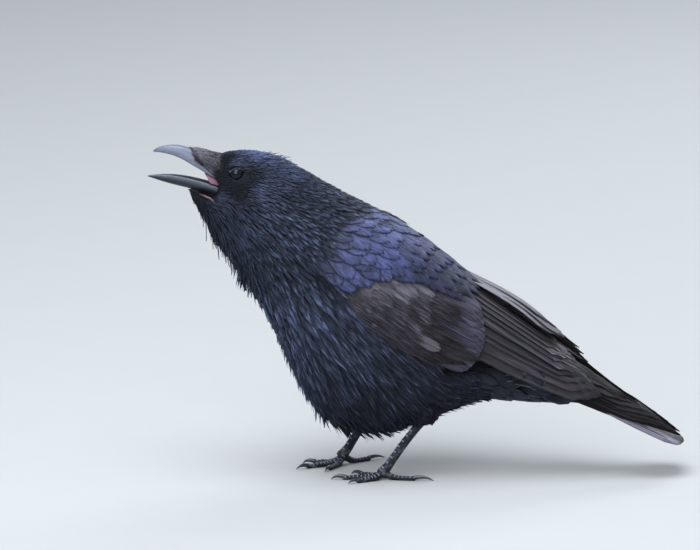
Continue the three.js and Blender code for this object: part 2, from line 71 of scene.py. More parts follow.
# ------------------------------------------------------------------ how the plumage lies
# Each row is a place on the bird and how the feathers grow round it; values between the places
# are blended. lie is the way the feathers point, seen from the left side: 0 is straight back and
# -90 straight down. gap is the space between roots, point runs from a round tip (0) to a hackle
# (1), loose is how far the tip stands off, fray how deeply the tip is split, depth how deep the
# skin lies, and the last three are shares of tones: a painted bluish sheen, brown, and dark,
# which is painted shade.
PLUMAGE_FIELDS = "x y z lie length half gap point loose fray depth blue brown dark".split()
PLUMAGE = [
    # name, x, y, z, lie, length, half, gap, point, loose, fray, depth, blue, brown, dark
    ("forehead", -108, 0, 255, 12, 6, 0.55, 0.95, 0.8, 0.2, 0.3, 0.8, 1.60, 0.30, 0.0),
    ("crown", -80, 0, 257, -4, 8, 0.60, 1.05, 0.9, 0.3, 0.35, 1.2, 1.80, 0.15, 0.0),
    ("crown_back", -60, 0, 256, -12, 10, 0.65, 1.1, 0.9, 2.2, 0.4, 1.4, 0.80, 0.20, 0.0),
    ("bill_base", -106, 6, 251, 10, 4.5, 0.50, 0.95, 0.8, 0.1, 0.3, 1.4, 0.0, 0.6, 0.6),
    ("lores", -106, 12, 238, 8, 4.5, 0.50, 0.95, 0.8, 0.1, 0.3, 0.7, 0.0, 0.05, 1.0),
    ("notch", -100, 9, 250, 10, 4.5, 0.50, 0.95, 0.8, 0.1, 0.3, 1.1, 0.0, 0.05, 1.0),
    ("brow", -92, 17, 250, 4, 5.5, 0.55, 0.95, 0.8, 0.1, 0.3, 0.8, 0.75, 0.15, 0.0),
    ("before_eye", -97, 14, 241, 6, 4, 0.50, 0.90, 0.8, 0.1, 0.3, 0.7, 0.0, 0.05, 1.0),
    ("under_eye", -91, 19, 231, -10, 4, 0.50, 0.90, 0.8, 0.1, 0.3, 0.7, 0.0, 0.1, 1.0),
    ("behind_eye", -79, 19, 237, -8, 4.5, 0.50, 0.90, 0.8, 0.1, 0.3, 0.7, 0.2, 0.1, 0.8),
    ("cheek", -100, 16, 222, -24, 8, 0.60, 1.05, 0.9, 0.2, 0.4, 1.0, 0.40, 0.1, 0.2),
    ("ear", -72, 22, 232, -22, 10, 0.65, 1.15, 0.9, 0.3, 0.4, 1.4, 0.65, 0.2, 0.0),
    ("jaw", -88, 20, 208, -45, 11, 0.80, 1.35, 0.9, 0.4, 0.4, 1.6, 0.45, 0.0, 0.35),
    ("chin", -118, 0, 222, -58, 8, 0.65, 1.20, 1.0, 0.5, 0.4, 1.4, 0.10, 0.0, 0.95),
    ("throat", -108, 0, 200, -66, 19, 1.5, 2.2, 1.0, 3.4, 0.45, 2.6, 0.35, 0.0, 0.9),
    ("throat_low", -90, 0, 172, -62, 23, 1.9, 2.5, 1.0, 3.4, 0.45, 3.4, 0.75, 0.0, 0.45),
    ("nape", -45, 0, 247, -27, 13, 0.8, 1.35, 0.9, 0.4, 0.4, 2.2, 0.60, 0.3, 0.0),
    ("neck", -58, 28, 205, -38, 14, 1.4, 2.0, 0.8, 0.4, 0.4, 3.0, 0.70, 0.0, 0.0),
    ("neck_back", -12, 0, 228, -29, 17, 1.6, 2.1, 0.8, 0.4, 0.35, 3.2, 0.55, 0.3, 0.0),
    ("neck_low", -35, 38, 178, -42, 18, 1.9, 2.3, 0.8, 0.5, 0.4, 3.8, 0.50, 0.0, 0.2),
    ("mantle", 16, 0, 214, -31, 22, 3.4, 3.4, 0.5, 0.3, 0.3, 3.8, 0.50, 0.2, 0.0),
    ("breast", -66, 0, 140, -64, 24, 3.5, 3.4, 0.85, 0.8, 0.35, 4.6, 1.25, 0.0, 0.0),
    ("breast_side", -38, 44, 145, -54, 25, 3.5, 3.4, 0.85, 0.8, 0.35, 5.0, 1.0, 0.0, 0.0),
    ("breast_low", -40, 0, 95, -68, 27, 2.6, 2.8, 1.0, 1.6, 0.5, 5.4, 1.05, 0.0, 0.15),
    ("flank", -5, 50, 115, -50, 26, 2.0, 2.5, 0.95, 0.8, 0.6, 5.4, 0.85, 0.15, 0.0),
    ("flank_back", 50, 46, 95, -45, 26, 2.0, 2.5, 0.95, 1.0, 0.65, 5.2, 0.50, 0.15, 0.15),
    ("belly", -10, 0, 48, -58, 30, 2.2, 2.7, 1.0, 4.6, 0.7, 5.6, 0.25, 0.05, 0.6),
    ("belly_side", 15, 36, 60, -62, 28, 2.2, 2.7, 1.0, 3.0, 0.7, 5.6, 0.35, 0.05, 0.4),
    ("thighs", 40, 0, 38, -38, 19, 2.0, 2.5, 1.0, 1.8, 0.7, 5.0, 0.15, 0.0, 0.7),
    ("thigh_side", 58, 32, 58, -50, 15, 1.8, 2.4, 1.0, 0.8, 0.65, 4.8, 0.20, 0.1, 0.5),
    ("vent", 76, 0, 46, -20, 22, 2.3, 2.8, 0.9, 1.6, 0.6, 4.6, 0.15, 0.0, 0.6),
    ("vent_side", 86, 30, 66, -24, 22, 2.6, 3.0, 0.8, 0.8, 0.5, 4.2, 0.35, 0.0, 0.4),
    ("undertail", 118, 0, 58, -10, 26, 7.4, 7.4, 0.1, 0.3, 0.10, 2.6, 0.12, 0.0, 0.45),
    ("undertail_side", 112, 26, 72, -16, 26, 7.4, 7.4, 0.1, 0.3, 0.10, 2.6, 0.12, 0.0, 0.45),
    ("undertail_tip", 172, 0, 58, -14, 26, 7.4, 7.4, 0.1, 0.3, 0.10, 1.6, 0.12, 0.0, 0.45),
    ("rump", 100, 0, 120, -31, 24, 5.0, 5.0, 0.2, 0.3, 0.2, 3.8, 0.30, 0.0, 0.0),
    ("left_cuff", 50, -26, 42, -125, 7, 1.0, 1.7, 0.9, 0.4, 0.45, 1.4, 0.1, 0.0, 0.7),
    ("right_cuff", 20, 25, 44, -122, 7, 1.0, 1.7, 0.9, 0.4, 0.45, 1.4, 0.1, 0.0, 0.7),
]
BLEND_POWER = 4  # how sharply one place's values give way to the next's
BLEND_NEAR = 0.002  # within how many metres a place counts as reached
BLEND_BATCH = 20000  # how many places are blended at a time
CUFF_FAR = 1.6  # how many times farther off the cuffs count, so that they stay small

# The body's axis in the middle plane, from the bill's base to the tail, for unwrapping the coat.
AXIS = [
    (-128, 246), (-104, 231), (-84, 221), (-54, 198), (-19, 166), (12, 120), (42, 92), (88, 79),
    (130, 70), (184, 59), (262, 22),
]

# ------------------------------------------------------------------ the folded wings and the tail
# Each station is [x, z] on the line where the wings meet, how far below it the widest line lies,
# and half the width there. The lean is by how many degrees the sections lean back.
ROOF = [
    ((-6, 222), 47, 49), ((42, 199.5), 54, 59), ((90, 165.5), 52, 57), ((133, 133), 44, 46),
    ((171, 98.5), 31, 34), ((206, 72), 21, 25), ((234, 52), 14, 18), ((260, 32.5), 9, 12),
]
ROOF_LEAN = 31
TAIL = [
    ((126, 97), 6, 15), ((160, 79.5), 8, 20), ((194, 61.5), 8, 24), ((228, 43), 6.5, 26.5),
    ((262, 26), 4, 28),
]
TAIL_LEAN = 28
LAYER = 2.8  # from one layer of wing feathers down to the next
TUCK = 5  # how far the front of a layer sinks below the one ahead
RIGHT_WING_RISE = 8  # how much higher the right wing lies where it overlaps the left one

# ------------------------------------------------------------------ bill, mouth and eyes
# ridge is the culmen or the keel and edge the cutting edge, both [x, z], from inside the face to
# the tip, and the last number is the half width.
UPPER_BILL = [
    ((-100, 250.5), (-101, 233.5), 8.6), ((-111, 254.6), (-111, 239.2), 7.8),
    ((-123, 258.8), (-121.5, 245.4), 6.4), ((-134, 261.4), (-132.5, 251.6), 4.8),
    ((-143.5, 261), (-142.5, 254.8), 3.1), ((-150, 259), (-149.5, 255.8), 1.7),
    ((-153.4, 256.9), (-153.3, 255.9), 0.6),
]
LOWER_BILL = [
    ((-103, 219.2), (-101, 229.3), 8.4), ((-114, 223.6), (-112, 232.6), 7.3),
    ((-125, 227), (-124, 235.7), 5.7), ((-137, 230), (-136, 237.7), 4.2),
    ((-147, 232.9), (-146.5, 238.1), 2.7), ((-154, 235.3), (-153.8, 237.6), 1.4),
    ((-157.8, 236.5), (-157.8, 237.2), 0.5),
]
TONGUE = [(-108, 228.4), (-114, 230.4), (-120, 232.0), (-127, 233.5), (-134, 235)]
TONGUE_RADIUS = 1.9
# The corners of the mouth, where the cheek's feathers close over the bill's base.
GAPE_FOLD = [(-103, 241.5), (-99, 234), (-98.3, 226), (-101.5, 219.5)]
GAPE_FOLD_OUT = 12
GAPE_FOLD_RADIUS = 4.3
THIGH_END = 50  # the lowest height at which the thighs' feathering lies full
THIGH_KEPT = 0.45  # how much of what hangs lower is kept
EYE_CENTRE = (-88, 12.6, 241.2)
EYE_RADIUS = 6.6
EYE_GAZE = (-0.16, 0.03)  # how far an eye looks ahead and up for each step outwards
LID_OPENING = (5.5, 4.0)  # half the width and half the height between the lids
LID_RIM = (1.03, 1.12)  # where the lids carry their light margin, as a share of the opening
BRISTLE_END = 0.355  # how far along the bill the bristles reach
BRISTLE_CLEAR = 8  # how far off the bill the coat may stand under the bristles
BRISTLE_LOW = 1.28  # how far round the bill's sides they grow, in radians
BRISTLE_THICK = 0.00016
BRISTLE_SEED = 77
# The bare strip of skin under the lower bill's base, on the left; the right mirrors it.
BARE_STRIP = [(-117, 224.6), (-112.5, 223.4), (-108, 221.4), (-105.5, 219.4)]

# ------------------------------------------------------------------ legs
LEGS = {
    "left": {"foot": (26.5, -26, 6.6), "heel": (62, -25, 54), "turn": 0},
    "right": {"foot": (-5, 26, 8.2), "heel": (29, 24, 59), "turn": -26},
}
TOES = {
    "middle": {"heading": 0, "length": 32, "claw": 10},
    "inner": {"heading": -36, "length": 23, "claw": 9},
    "outer": {"heading": 30, "length": 24, "claw": 9},
    "hind": {"heading": 172, "length": 25, "claw": 15},
}
CLAW_RADIUS = 1.75

# ------------------------------------------------------------------ floor, lights and camera
FLOOR_SPECKS = (0.5, 0.5, 0.48)
CAMERA_AIM = (0, 0, 157.9)
CAMERA_TILT = 12  # by how many degrees the camera looks down
# name, place in metres, size in metres, power in watts, tint
LIGHTS = [
    ("sky", (-0.3, -0.5, 2.4), 2.0, 88.0, (0.86, 0.92, 1.0)),
    ("key", (-0.6, -2.05, 1.35), 1.9, 46.0, (0.93, 0.96, 1.0)),
    ("back", (1.0, 1.8, 1.5), 1.4, 30.0, (0.9, 0.95, 1.0)),
]
WORLD_TINT = (0.80, 0.87, 1.0, 1.0)
WORLD_STRENGTH = 0.62


# ------------------------------------------------------------------ settings
def colour(name, description, default):
    return FloatVectorProperty(
        name=name, description=description, subtype="COLOR", size=3, min=0, max=1, default=default
    )


def length(name, description, default):
    return FloatProperty(
        name=name, description=description, subtype="DISTANCE", unit="LENGTH", min=0,
        default=default,
    )


class CrowPlumageSettings(bpy.types.PropertyGroup):
    black: colour("Black", "Ground colour of the body feathers", (0.0060, 0.0065, 0.0085))
    # Painted bluish sheen of the body feathers, mixed into their base colour.
    blue: colour("Blue", "Gloss along the middle of a body feather", (0.105, 0.135, 0.250))
    # Painted purplish sheen of the shoulder and flight feathers, mixed into their base colour.
    violet_sheen: colour("Violet", "Gloss of the shoulder feathers", (0.058, 0.068, 0.172))
    brown: colour("Brown", "Worn coverts and flight feathers", (0.052, 0.042, 0.041))
    pale_edge: colour("Pale edge", "Worn outer edges of feathers", (0.16, 0.16, 0.19))
    # A pale wash: fading on the worn coverts, painted sheen on the tail's outer feathers and the
    # far wing.
    fade_and_sheen: colour("Faded", "Edges of the tail and of the far wing", (0.22, 0.21, 0.26))
    vane_thickness: length("Vane thickness", "Thickness of a feather's vane", 0.0004)
    seed: IntProperty(name="Seed", description="Start of the random draws", default=11, min=0)


class CrowFaceSettings(bpy.types.PropertyGroup):
    # The upper bill's light, bluish ground is painted sheen from the sky over the dark horn.
    horn: colour("Horn", "Ground colour of the upper bill", (0.105, 0.118, 0.180))
    horn_low: colour("Lower horn", "Ground colour of the lower bill", (0.018, 0.021, 0.029))
    horn_edge: colour("Horn edge", "Cutting edges and tips", (0.26, 0.28, 0.34))
    gape: colour("Gape", "Lining of the mouth", (0.36, 0.17, 0.25))
    strip: colour("Bare strip", "Bare skin under the lower bill", (0.15, 0.055, 0.062))
    iris: colour("Iris", "Colour of the iris", (0.0055, 0.0038, 0.0035))
    lid: colour("Lid", "Bare rim of the eyelids", (0.014, 0.014, 0.017))
    bristle: colour("Bristle", "Bristles over the nostrils", (0.155, 0.148, 0.175))
    bristles: IntProperty(name="Bristles", description="How many bristles", default=1700, min=1)
    lid_width: length("Lid width", "How far the lids' rim stands off the eye", 0.0007)


class CrowFootSettings(bpy.types.PropertyGroup):
    scale: colour("Scale", "Ground colour of the scaly skin", (0.010, 0.011, 0.015))
    # Painted highlights along the scutes' edges; the same colour marks dusty patches and the claws'
    # tips.
    scale_highlight_and_dust: colour("Scale edge", "Light edges of the scales", (0.24, 0.25, 0.30))
    claw: colour("Claw", "Colour of the claws", (0.012, 0.012, 0.015))
    scute_height: length("Scute height", "How far each scale steps out", 0.0005)


class CrowStageSettings(bpy.types.PropertyGroup):
    floor: colour("Floor", "Colour of the floor", (0.37, 0.37, 0.36))
    distance: length("Distance", "From the camera to the bird", 7.0)
    framed: length("Framed width", "Width that the picture takes in at the bird", 0.546)


# ------------------------------------------------------------------ curves and surfaces
def smooth(share, low, high):
    """Rises smoothly from 0 at low to 1 at high."""
    t = np.clip((share - low) / (high - low), 0, 1)
    return t * t * (3 - 2 * t)


def track(values):
    """A smooth curve through values at equally spaced stations, read by shares of its length."""
    values = np.array(values, float)
    ends = [2 * values[0] - values[1]], [2 * values[-1] - values[-2]]
    padded = np.concatenate([ends[0], values, ends[1]])
    gaps = np.maximum(np.linalg.norm(np.diff(padded, axis=0), axis=1) ** 0.5, 1e-4)

    def read(share):
        place = np.clip(np.asarray(share, float), 0, 1) * (len(values) - 1)
        i = np.minimum(place.astype(int), len(values) - 2)
        w = (place - i)[..., None]
        before, start, end, after = (padded[i + k] for k in range(4))
        d0, d1, d2 = (gaps[i + k][..., None] for k in range(3))
        leave = (start - before) / d0 - (end - before) / (d0 + d1) + (end - start) / d1
        arrive = (end - start) / d1 - (after - start) / (d1 + d2) + (after - end) / d2
        leave, arrive = leave * d1, arrive * d1
        cubic = 2 * start - 2 * end + leave + arrive
        square = -3 * start + 3 * end - 2 * leave - arrive
        return start + leave * w + square * w**2 + cubic * w**3

    return read


def arch(stations, lean):
    """The curved surface that large feathers lie on, read by share, angle and lift in mm."""
    ridge = track([place for place, _, _ in stations])
    shape = track([(drop, half) for _, drop, half in stations])
    lean = math.radians(lean)

    def read(share, angle, lift):
        top, size = ridge(share), shape(share)
        drop, half = size[..., 0], size[..., 1]
        sin, cos = np.sin(angle), np.cos(angle)
        steep = np.hypot(drop * sin, half * cos)
        up = -drop * (1 - cos) + lift * half * cos / steep
        out = half * sin + lift * drop * sin / steep
        x = top[..., 0] + math.sin(lean) * up
        z = top[..., 1] + math.cos(lean) * up
        return np.stack([(x - ORIGIN_X) * MM, out * MM, z * MM], -1)

    return read


roof = arch(ROOF, ROOF_LEAN)
tail_arch = arch(TAIL, TAIL_LEAN)


def unit(vectors):
    return vectors / np.maximum(np.linalg.norm(vectors, axis=-1, keepdims=True), 1e-12)


def unwrap(points):
    """Where places on the bird fall on the coat's own unwrap: shares along and round its axis."""
    axis = np.array([at(x, 0, z) for x, z in AXIS])[:, [0, 2]]
    run = np.diff(axis, axis=0)
    size = np.linalg.norm(run, axis=1)
    start = np.concatenate([[0], np.cumsum(size)])
    flat = points[:, [0, 2]]
    share = np.einsum("nsk,sk->ns", flat[:, None] - axis[None, :-1], run) / size**2
    share = np.clip(share, 0, 1)
    near = axis[None, :-1] + share[..., None] * run[None]
    gap = np.linalg.norm(flat[:, None] - near, axis=2)
    best = gap.argmin(1)
    rows = np.arange(len(points))
    ahead = run[best] / size[best][:, None]
    away = flat - near[rows, best]
    up = ahead[:, 0] * away[:, 1] - ahead[:, 1] * away[:, 0]
    along = (start[best] + share[rows, best] * size[best]) / start[-1]
    return np.stack([along, np.arctan2(points[:, 1], up) / (2 * math.pi) + 0.5], 1)


# ------------------------------------------------------------------ meshes
HORN_MAP = "Horn"  # round and along a piece of horn
IRIS_MAP = "Iris"  # the angle away from the middle of the pupil


def finish(obj, material, slot, *nodes):
    """Gives a piece its material and body, and hides the solids that it replaces; slot is not used.
    """
    obj.data.materials.clear()
    obj.data.materials.append(material)
    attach(obj, "root")
    if nodes:
        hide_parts(*nodes)


def new_object(name, mesh):
    obj = bpy.data.objects.new(name, mesh)
    bpy.context.scene.collection.objects.link(obj)
    return obj


def object_from(name, bm):
    """Makes an object of a bmesh, with its faces smooth and pointing outwards."""
    bmesh.ops.recalc_face_normals(bm, faces=bm.faces[:])
    for face in bm.faces:
        face.smooth = True
    mesh = bpy.data.meshes.new(name)
    bm.to_mesh(mesh)
    bm.free()
    return new_object(name, mesh)


def loft(bm, rings):
    """Extrudes a ring of vertices through equal rings of places and closes both ends.

    The map's u runs once round each ring and its v from the first ring to the last.
    """
    count = len(rings[0])
    chart = bm.loops.layers.uv.get(HORN_MAP) or bm.loops.layers.uv.new(HORN_MAP)
    ring = bmesh.ops.create_circle(bm, segments=count, radius=1)["verts"]
    edges = list({edge for vert in ring for edge in vert.link_edges})
    place = {vert: (i, 0) for i, vert in enumerate(ring)}
    for vert, point in zip(ring, rings[0]):
        vert.co = point
    faces = [bmesh.ops.contextual_create(bm, geom=edges)["faces"][0]]
    for r, points in enumerate(rings[1:], 1):
        made = bmesh.ops.extrude_edge_only(bm, edges=edges)["geom"]
        fresh = dict.fromkeys(v for v in made if isinstance(v, bmesh.types.BMVert))
        edges = [e for e in made if isinstance(e, bmesh.types.BMEdge)]
        edges = [e for e in edges if all(v in fresh for v in e.verts)]
        for vert in fresh:
            beside = (e.other_vert(vert) for e in vert.link_edges)
            i = next(place[other][0] for other in beside if place.get(other, (0, r))[1] < r)
            vert.co = points[i]
            place[vert] = (i, r)
        faces += list({f for e in edges for f in e.link_faces})
    faces += bmesh.ops.contextual_create(bm, geom=edges)["faces"]
    last = len(rings) - 1
    for face in faces:
        wraps = {place[v][0] for v in face.verts} >= {0, count - 1} and len(face.verts) < count
        for loop in face.loops:
            i, r = place[loop.vert]
            loop[chart].uv = ((i + count * (wraps and i == 0)) / count, r / last)


def tube(bm, centres, radii, sides, wide=1.0, flat=1.0):
    """A round-sectioned piece along a line of places in metres, wider than deep if wide > 1."""
    centres = np.asarray(centres, float)
    ahead = unit(np.gradient(centres, axis=0))
    level = np.cross([0, 0, 1.0], ahead)
    level = unit(np.where(np.linalg.norm(level, axis=1, keepdims=True) < 0.2, [0, 1.0, 0], level))
    rise = np.cross(ahead, level)
    angle = np.arange(sides) / sides * 2 * math.pi
    rings = []
    for centre, radius, side, up in zip(centres, radii, level, rise):
        across = np.cos(angle)[:, None] * side * radius * wide
        rings.append(centre + across + np.sin(angle)[:, None] * up * radius * flat)
    loft(bm, rings)


def solid_copy(name, nodes, voxel, smoothing, extra=None):
    """One closed, smoothed mesh round copies of CAD nodes and what extra adds to them."""
    bm = bmesh.new()
    for node in nodes:
        bm.from_mesh(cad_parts[node].data)
    bmesh.ops.remove_doubles(bm, verts=bm.verts[:], dist=1e-6)
    if extra:
        extra(bm)
    obj = object_from(name, bm)
    remesh = obj.modifiers.new("Remesh", "REMESH")
    remesh.mode = "VOXEL"
    remesh.voxel_size = voxel
    remesh.use_smooth_shade = True
    even = obj.modifiers.new("Smooth", "SMOOTH")
    even.factor = 0.5
    even.iterations = smoothing
    graph = bpy.context.evaluated_depsgraph_get()
    mesh = bpy.data.meshes.new_from_object(obj.evaluated_get(graph), depsgraph=graph)
    obj.modifiers.clear()
    old, obj.data = obj.data, mesh
    bpy.data.meshes.remove(old)
    return obj


def read_mesh(mesh):
    """A mesh's places and smooth normals as arrays."""
    places = np.empty(len(mesh.vertices) * 3)
    mesh.vertices.foreach_get("co", places)
    normals = np.empty(len(mesh.vertices) * 3)
    mesh.vertices.foreach_get("normal", normals)
    return places.reshape(-1, 3), normals.reshape(-1, 3)


def set_places(mesh, places):
    mesh.vertices.foreach_set("co", places.ravel())
    mesh.update()


def coat_values(points):
    """Blends the plumage's values at places, by nearness to each row's own place.

    A row counts on both sides of the bird, but for the cuffs, where the legs leave the coat.
    """
    spots = at(*np.array([row[1:4] for row in PLUMAGE], float).T).T
    values = np.array([row[4:] for row in PLUMAGE], float)
    cuffs = np.array(["cuff" in row[0] for row in PLUMAGE])
    out = np.empty((len(points), values.shape[1]))
    for start in range(0, len(points), BLEND_BATCH):
        part = points[start : start + BLEND_BATCH]
        side = np.abs(part[:, 1:2])
        gap = part[:, None] - spots[None]
        gap[..., 1] = np.where(cuffs, gap[..., 1], side - np.abs(spots[None, :, 1]))
        far = np.linalg.norm(gap, axis=2) + BLEND_NEAR
        far[:, cuffs] *= CUFF_FAR
        weight = far**-BLEND_POWER
        weight /= weight.sum(1, keepdims=True)
        out[start : start + BLEND_BATCH] = weight @ values
    return dict(zip(PLUMAGE_FIELDS[3:], out.T))


# ------------------------------------------------------------------ feathers
BAKE_PATCH = 0.003  # the share of the coat's unwrap that one body feather bakes from
REACH = 0.040  # the feather length in metres at which the grain of a vane is as drawn


class Vanes:
    """Feathers of one build, each a thin closed vane, gathered and then made one mesh."""

    def __init__(self, rings, columns):
        self.rings, self.columns = rings, columns
        self.feathers = []

    def add(self, line, normal, sizes, tones, root=None):
        """One feather: its midline and outward directions, sizes, tones and place to bake at.

        The sizes are (half width, point, fray, thickness, camber, root share).
        """
        self.feathers.append((line, normal, sizes, tones, root))

    def build(self, name, seed):
        """Joins the feathers in one mesh, with their tones in an attribute for the material.

        A tip runs from the end of an ellipse to a long taper as its point grows, and every
        second barb of it is split. Feathers with no place to bake at get a cell each.
        """
        rng = np.random.default_rng(seed)
        lines, normals, sizes, tones, patches = zip(*self.feathers)
        lines, normals = np.array(lines), np.array(normals)
        half, point, fray, thick, camber, root = np.array(sizes).T[:, :, None, None]
        count, samples = lines.shape[:2]
        rows = np.linspace(0, 1, self.rings)[None, :, None]
        across = np.linspace(-1, 1, self.columns)[None, None, :]
        size = np.linalg.norm(np.diff(lines, axis=1), axis=2).sum(1)[:, None, None]

        blunt = np.minimum(half * 1.15 / size, 0.45) * (1 - np.sqrt(1 - 0.96 * across**2)) * 1.2
        sharp = 0.62 * np.abs(across) ** 0.85
        under = (self.columns - 1) // 2
        split = np.where((np.arange(self.columns) - under) % 2, 1.0, 0.15)[None, None, :]
        split = split * rng.uniform(0.35, 1, (count, 1, self.columns))
        reach = 1 - (blunt * (1 - point) + sharp * point)
        reach = reach * (1 - fray * split * smooth(rows, 0.55, 1.0) * 0.75)
        along = rows * reach
        width = root + (1 - root) * smooth(along, -0.05, 0.55)
        width = width * (1 - 0.25 * point * smooth(along, 0.6, 1.0))

        place = along * (samples - 1)
        low = np.minimum(place.astype(int), samples - 2)
        share = (place - low)[..., None]
        pick = np.arange(count)[:, None, None]
        middle = lines[pick, low] * (1 - share) + lines[pick, low + 1] * share
        out = unit(normals[pick, low] * (1 - share) + normals[pick, low + 1] * share)
        ahead = unit(np.gradient(lines, axis=1))
        ahead = ahead[pick, low] * (1 - share) + ahead[pick, low + 1] * share
        level = unit(np.cross(ahead, out))
        barbs = (np.arange(self.columns) % 2.0)[None, None, :]
        shaft = np.exp(-((across * 4) ** 2))
        rise = thick * (0.5 * (1 - across**2) + 0.55 * shaft + 0.35 * barbs * (1 - np.abs(across)))
        rise = rise - camber * half * across**2
        top = middle + level * (across * width * half)[..., None] + out * rise[..., None]
        deep = (camber * half * 0.5 + thick * 0.5)[:, :, 0, None]
        bottom = middle[:, :, under] + out[:, :, under] * -deep
        bottom[:, 0] = top[:, 0, under] - out[:, 0, under] * thick[:, 0, 0, None]
        verts = np.concatenate([top.reshape(count, -1, 3), bottom], 1)

        quads, triangles = self._faces()
        step = np.arange(count)[:, None, None] * verts.shape[1]
        quads = (quads[None] + step).reshape(-1, 4)
        triangles = (triangles[None] + step).reshape(-1, 3)
        corners = np.concatenate([quads.ravel(), triangles.ravel()])
        sides = np.concatenate([np.full(len(quads), 4), np.full(len(triangles), 3)])
        mesh = bpy.data.meshes.new(name)
        mesh.vertices.add(count * verts.shape[1])
        mesh.vertices.foreach_set("co", verts.ravel())
        mesh.loops.add(len(corners))
        mesh.loops.foreach_set("vertex_index", corners.astype(np.int32))
        mesh.polygons.add(len(sides))
        starts = np.concatenate([[0], np.cumsum(sides)[:-1]])
        mesh.polygons.foreach_set("loop_start", starts.astype(np.int32))
        mesh.polygons.foreach_set("use_smooth", self._upper_faces(len(quads), len(triangles)))
        mesh.update(calc_edges=True)

        chart = np.stack([np.broadcast_to(across * 0.5 + 0.5, along.shape), along], -1)
        edge = np.stack([np.full((count, self.rings), 0.5), along[:, :, under]], -1)
        chart = np.concatenate([chart.reshape(count, -1, 2), edge], 1)
        self._add_map(mesh, "Vane", chart.reshape(-1, 2), corners)
        patches = self._cells(count) if patches[0] is None else np.array(patches)
        if patches.shape[1] == 2:
            spot = patches[:, None, :] + (chart - [0.5, 0]) * BAKE_PATCH
        else:
            spot = patches[:, None, :2] + chart * patches[:, None, 2:]
        self._add_map(mesh, "OFBake", spot.reshape(-1, 2), corners)
        tones = np.repeat(np.array(tones), verts.shape[1], axis=0)
        layer = mesh.attributes.new("tone", "FLOAT_COLOR", "POINT")
        layer.data.foreach_set("color", tones.ravel())
        for word, each in (("chance", rng.uniform(size=count)), ("reach", size[:, 0, 0] / REACH)):
            layer = mesh.attributes.new(word, "FLOAT", "POINT")
            layer.data.foreach_set("value", np.repeat(each, verts.shape[1]))
        mesh.validate()
        return new_object(name, mesh)

    def _faces(self):
        """One feather's faces: the upper side, both flanks down to the keel, and both ends."""
        rings, columns = self.rings, self.columns
        under = rings * columns
        quads, triangles = [], []
        for r in range(rings - 1):
            for c in range(columns - 1):
                a = r * columns + c
                quads.append((a, a + 1, a + 1 + columns, a + columns))
        for r in range(rings - 1):
            left, right, low = r * columns, r * columns + columns - 1, under + r
            quads.append((left, left + columns, low + 1, low))
            quads.append((low, low + 1, right + columns, right))
        for c in range(columns - 1):
            triangles.append((under, c + 1, c))
            tip = (rings - 1) * columns + c
            triangles.append((under + rings - 1, tip, tip + 1))
        return np.array(quads), np.array(triangles)

    def _upper_faces(self, quads, triangles):
        each = (self.rings - 1) * (self.columns + 1)
        upper = np.arange(each) < (self.rings - 1) * (self.columns - 1)
        return np.concatenate([np.tile(upper, quads // each), np.zeros(triangles, bool)])

    @staticmethod
    def _cells(count):
        """Equal cells of the unit square: corner and size."""
        across = math.ceil(math.sqrt(count))
        cell = 0.96 / across
        corner = [(0.02 + (n % across) * cell, 0.02 + (n // across) * cell) for n in range(count)]
        return np.array([(*place, cell * 0.9, cell * 0.9) for place in corner])

    @staticmethod
    def _add_map(mesh, name, chart, corners):
        layer = mesh.uv_layers.new(name=name)
        layer.uv.foreach_set("vector", chart[corners].astype(np.float32).ravel())


# ------------------------------------------------------------------ materials
# The dark tones under the settings' colours: a feather's shaft and the painted shade over its
# covered root, the same for flight feathers, and the grounds of what is bare.
FEATHER_SHAFT = (0.004, 0.004, 0.006)
FEATHER_ROOT_SHADE = (0.003, 0.003, 0.004)
FLIGHT_SHAFT = (0.006, 0.005, 0.006)
FLIGHT_ROOT_SHADE = (0.0035, 0.003, 0.0035)
DOWN_DARK = (0.004, 0.004, 0.005)
HORN_DARK = (0.010, 0.011, 0.014)
BRISTLE_DARK = (0.012, 0.011, 0.012)
GAPE_DARK = (0.17, 0.050, 0.085)
STRIP_DARK = (0.05, 0.018, 0.020)
IRIS_DARK = (0.003, 0.002, 0.002)
PUPIL = (0.0015, 0.0015, 0.002)
WHITE_OF_EYE = (0.003, 0.003, 0.004)
LID_DARK = (0.006, 0.006, 0.007)
SCALE_DARK = (0.006, 0.006, 0.008)
SCALE_GROOVE = (0.003, 0.003, 0.004)


class Shade:
    """A node's socket, used in plain sums that become Math nodes."""

    def __init__(self, tree, socket):
        self.tree, self.socket = tree, socket

    def math(self, operation, *values):
        node = self.tree.nodes.new("ShaderNodeMath")
        node.operation = operation
        for socket, value in zip(node.inputs, values):
            if isinstance(value, Shade):
                self.tree.links.new(value.socket, socket)
            else:
                socket.default_value = value
        return Shade(self.tree, node.outputs[0])

    def __add__(self, other):
        return self.math("ADD", self, other)

    def __sub__(self, other):
        return self.math("SUBTRACT", self, other)

    def __rsub__(self, other):
        return self.math("SUBTRACT", other, self)

    def __mul__(self, other):
        return self.math("MULTIPLY", self, other)

    def __truediv__(self, other):
        return self.math("DIVIDE", self, other)

    def __abs__(self):
        return self.math("ABSOLUTE", self)

    __radd__ = __add__
    __rmul__ = __mul__

    def sine(self):
        return self.math("SINE", self)

    def fraction(self):
        return self.math("FRACT", self)

    def held(self):
        """Kept between 0 and 1."""
        capped = self.math("MINIMUM", self, 1.0)
        return self.math("MAXIMUM", capped, 0.0)

    def step(self, low, high):
        """Rises smoothly from 0 at low to 1 at high."""
        share = ((self - low) / (high - low)).held()
        return share * share * (3 - 2 * share)


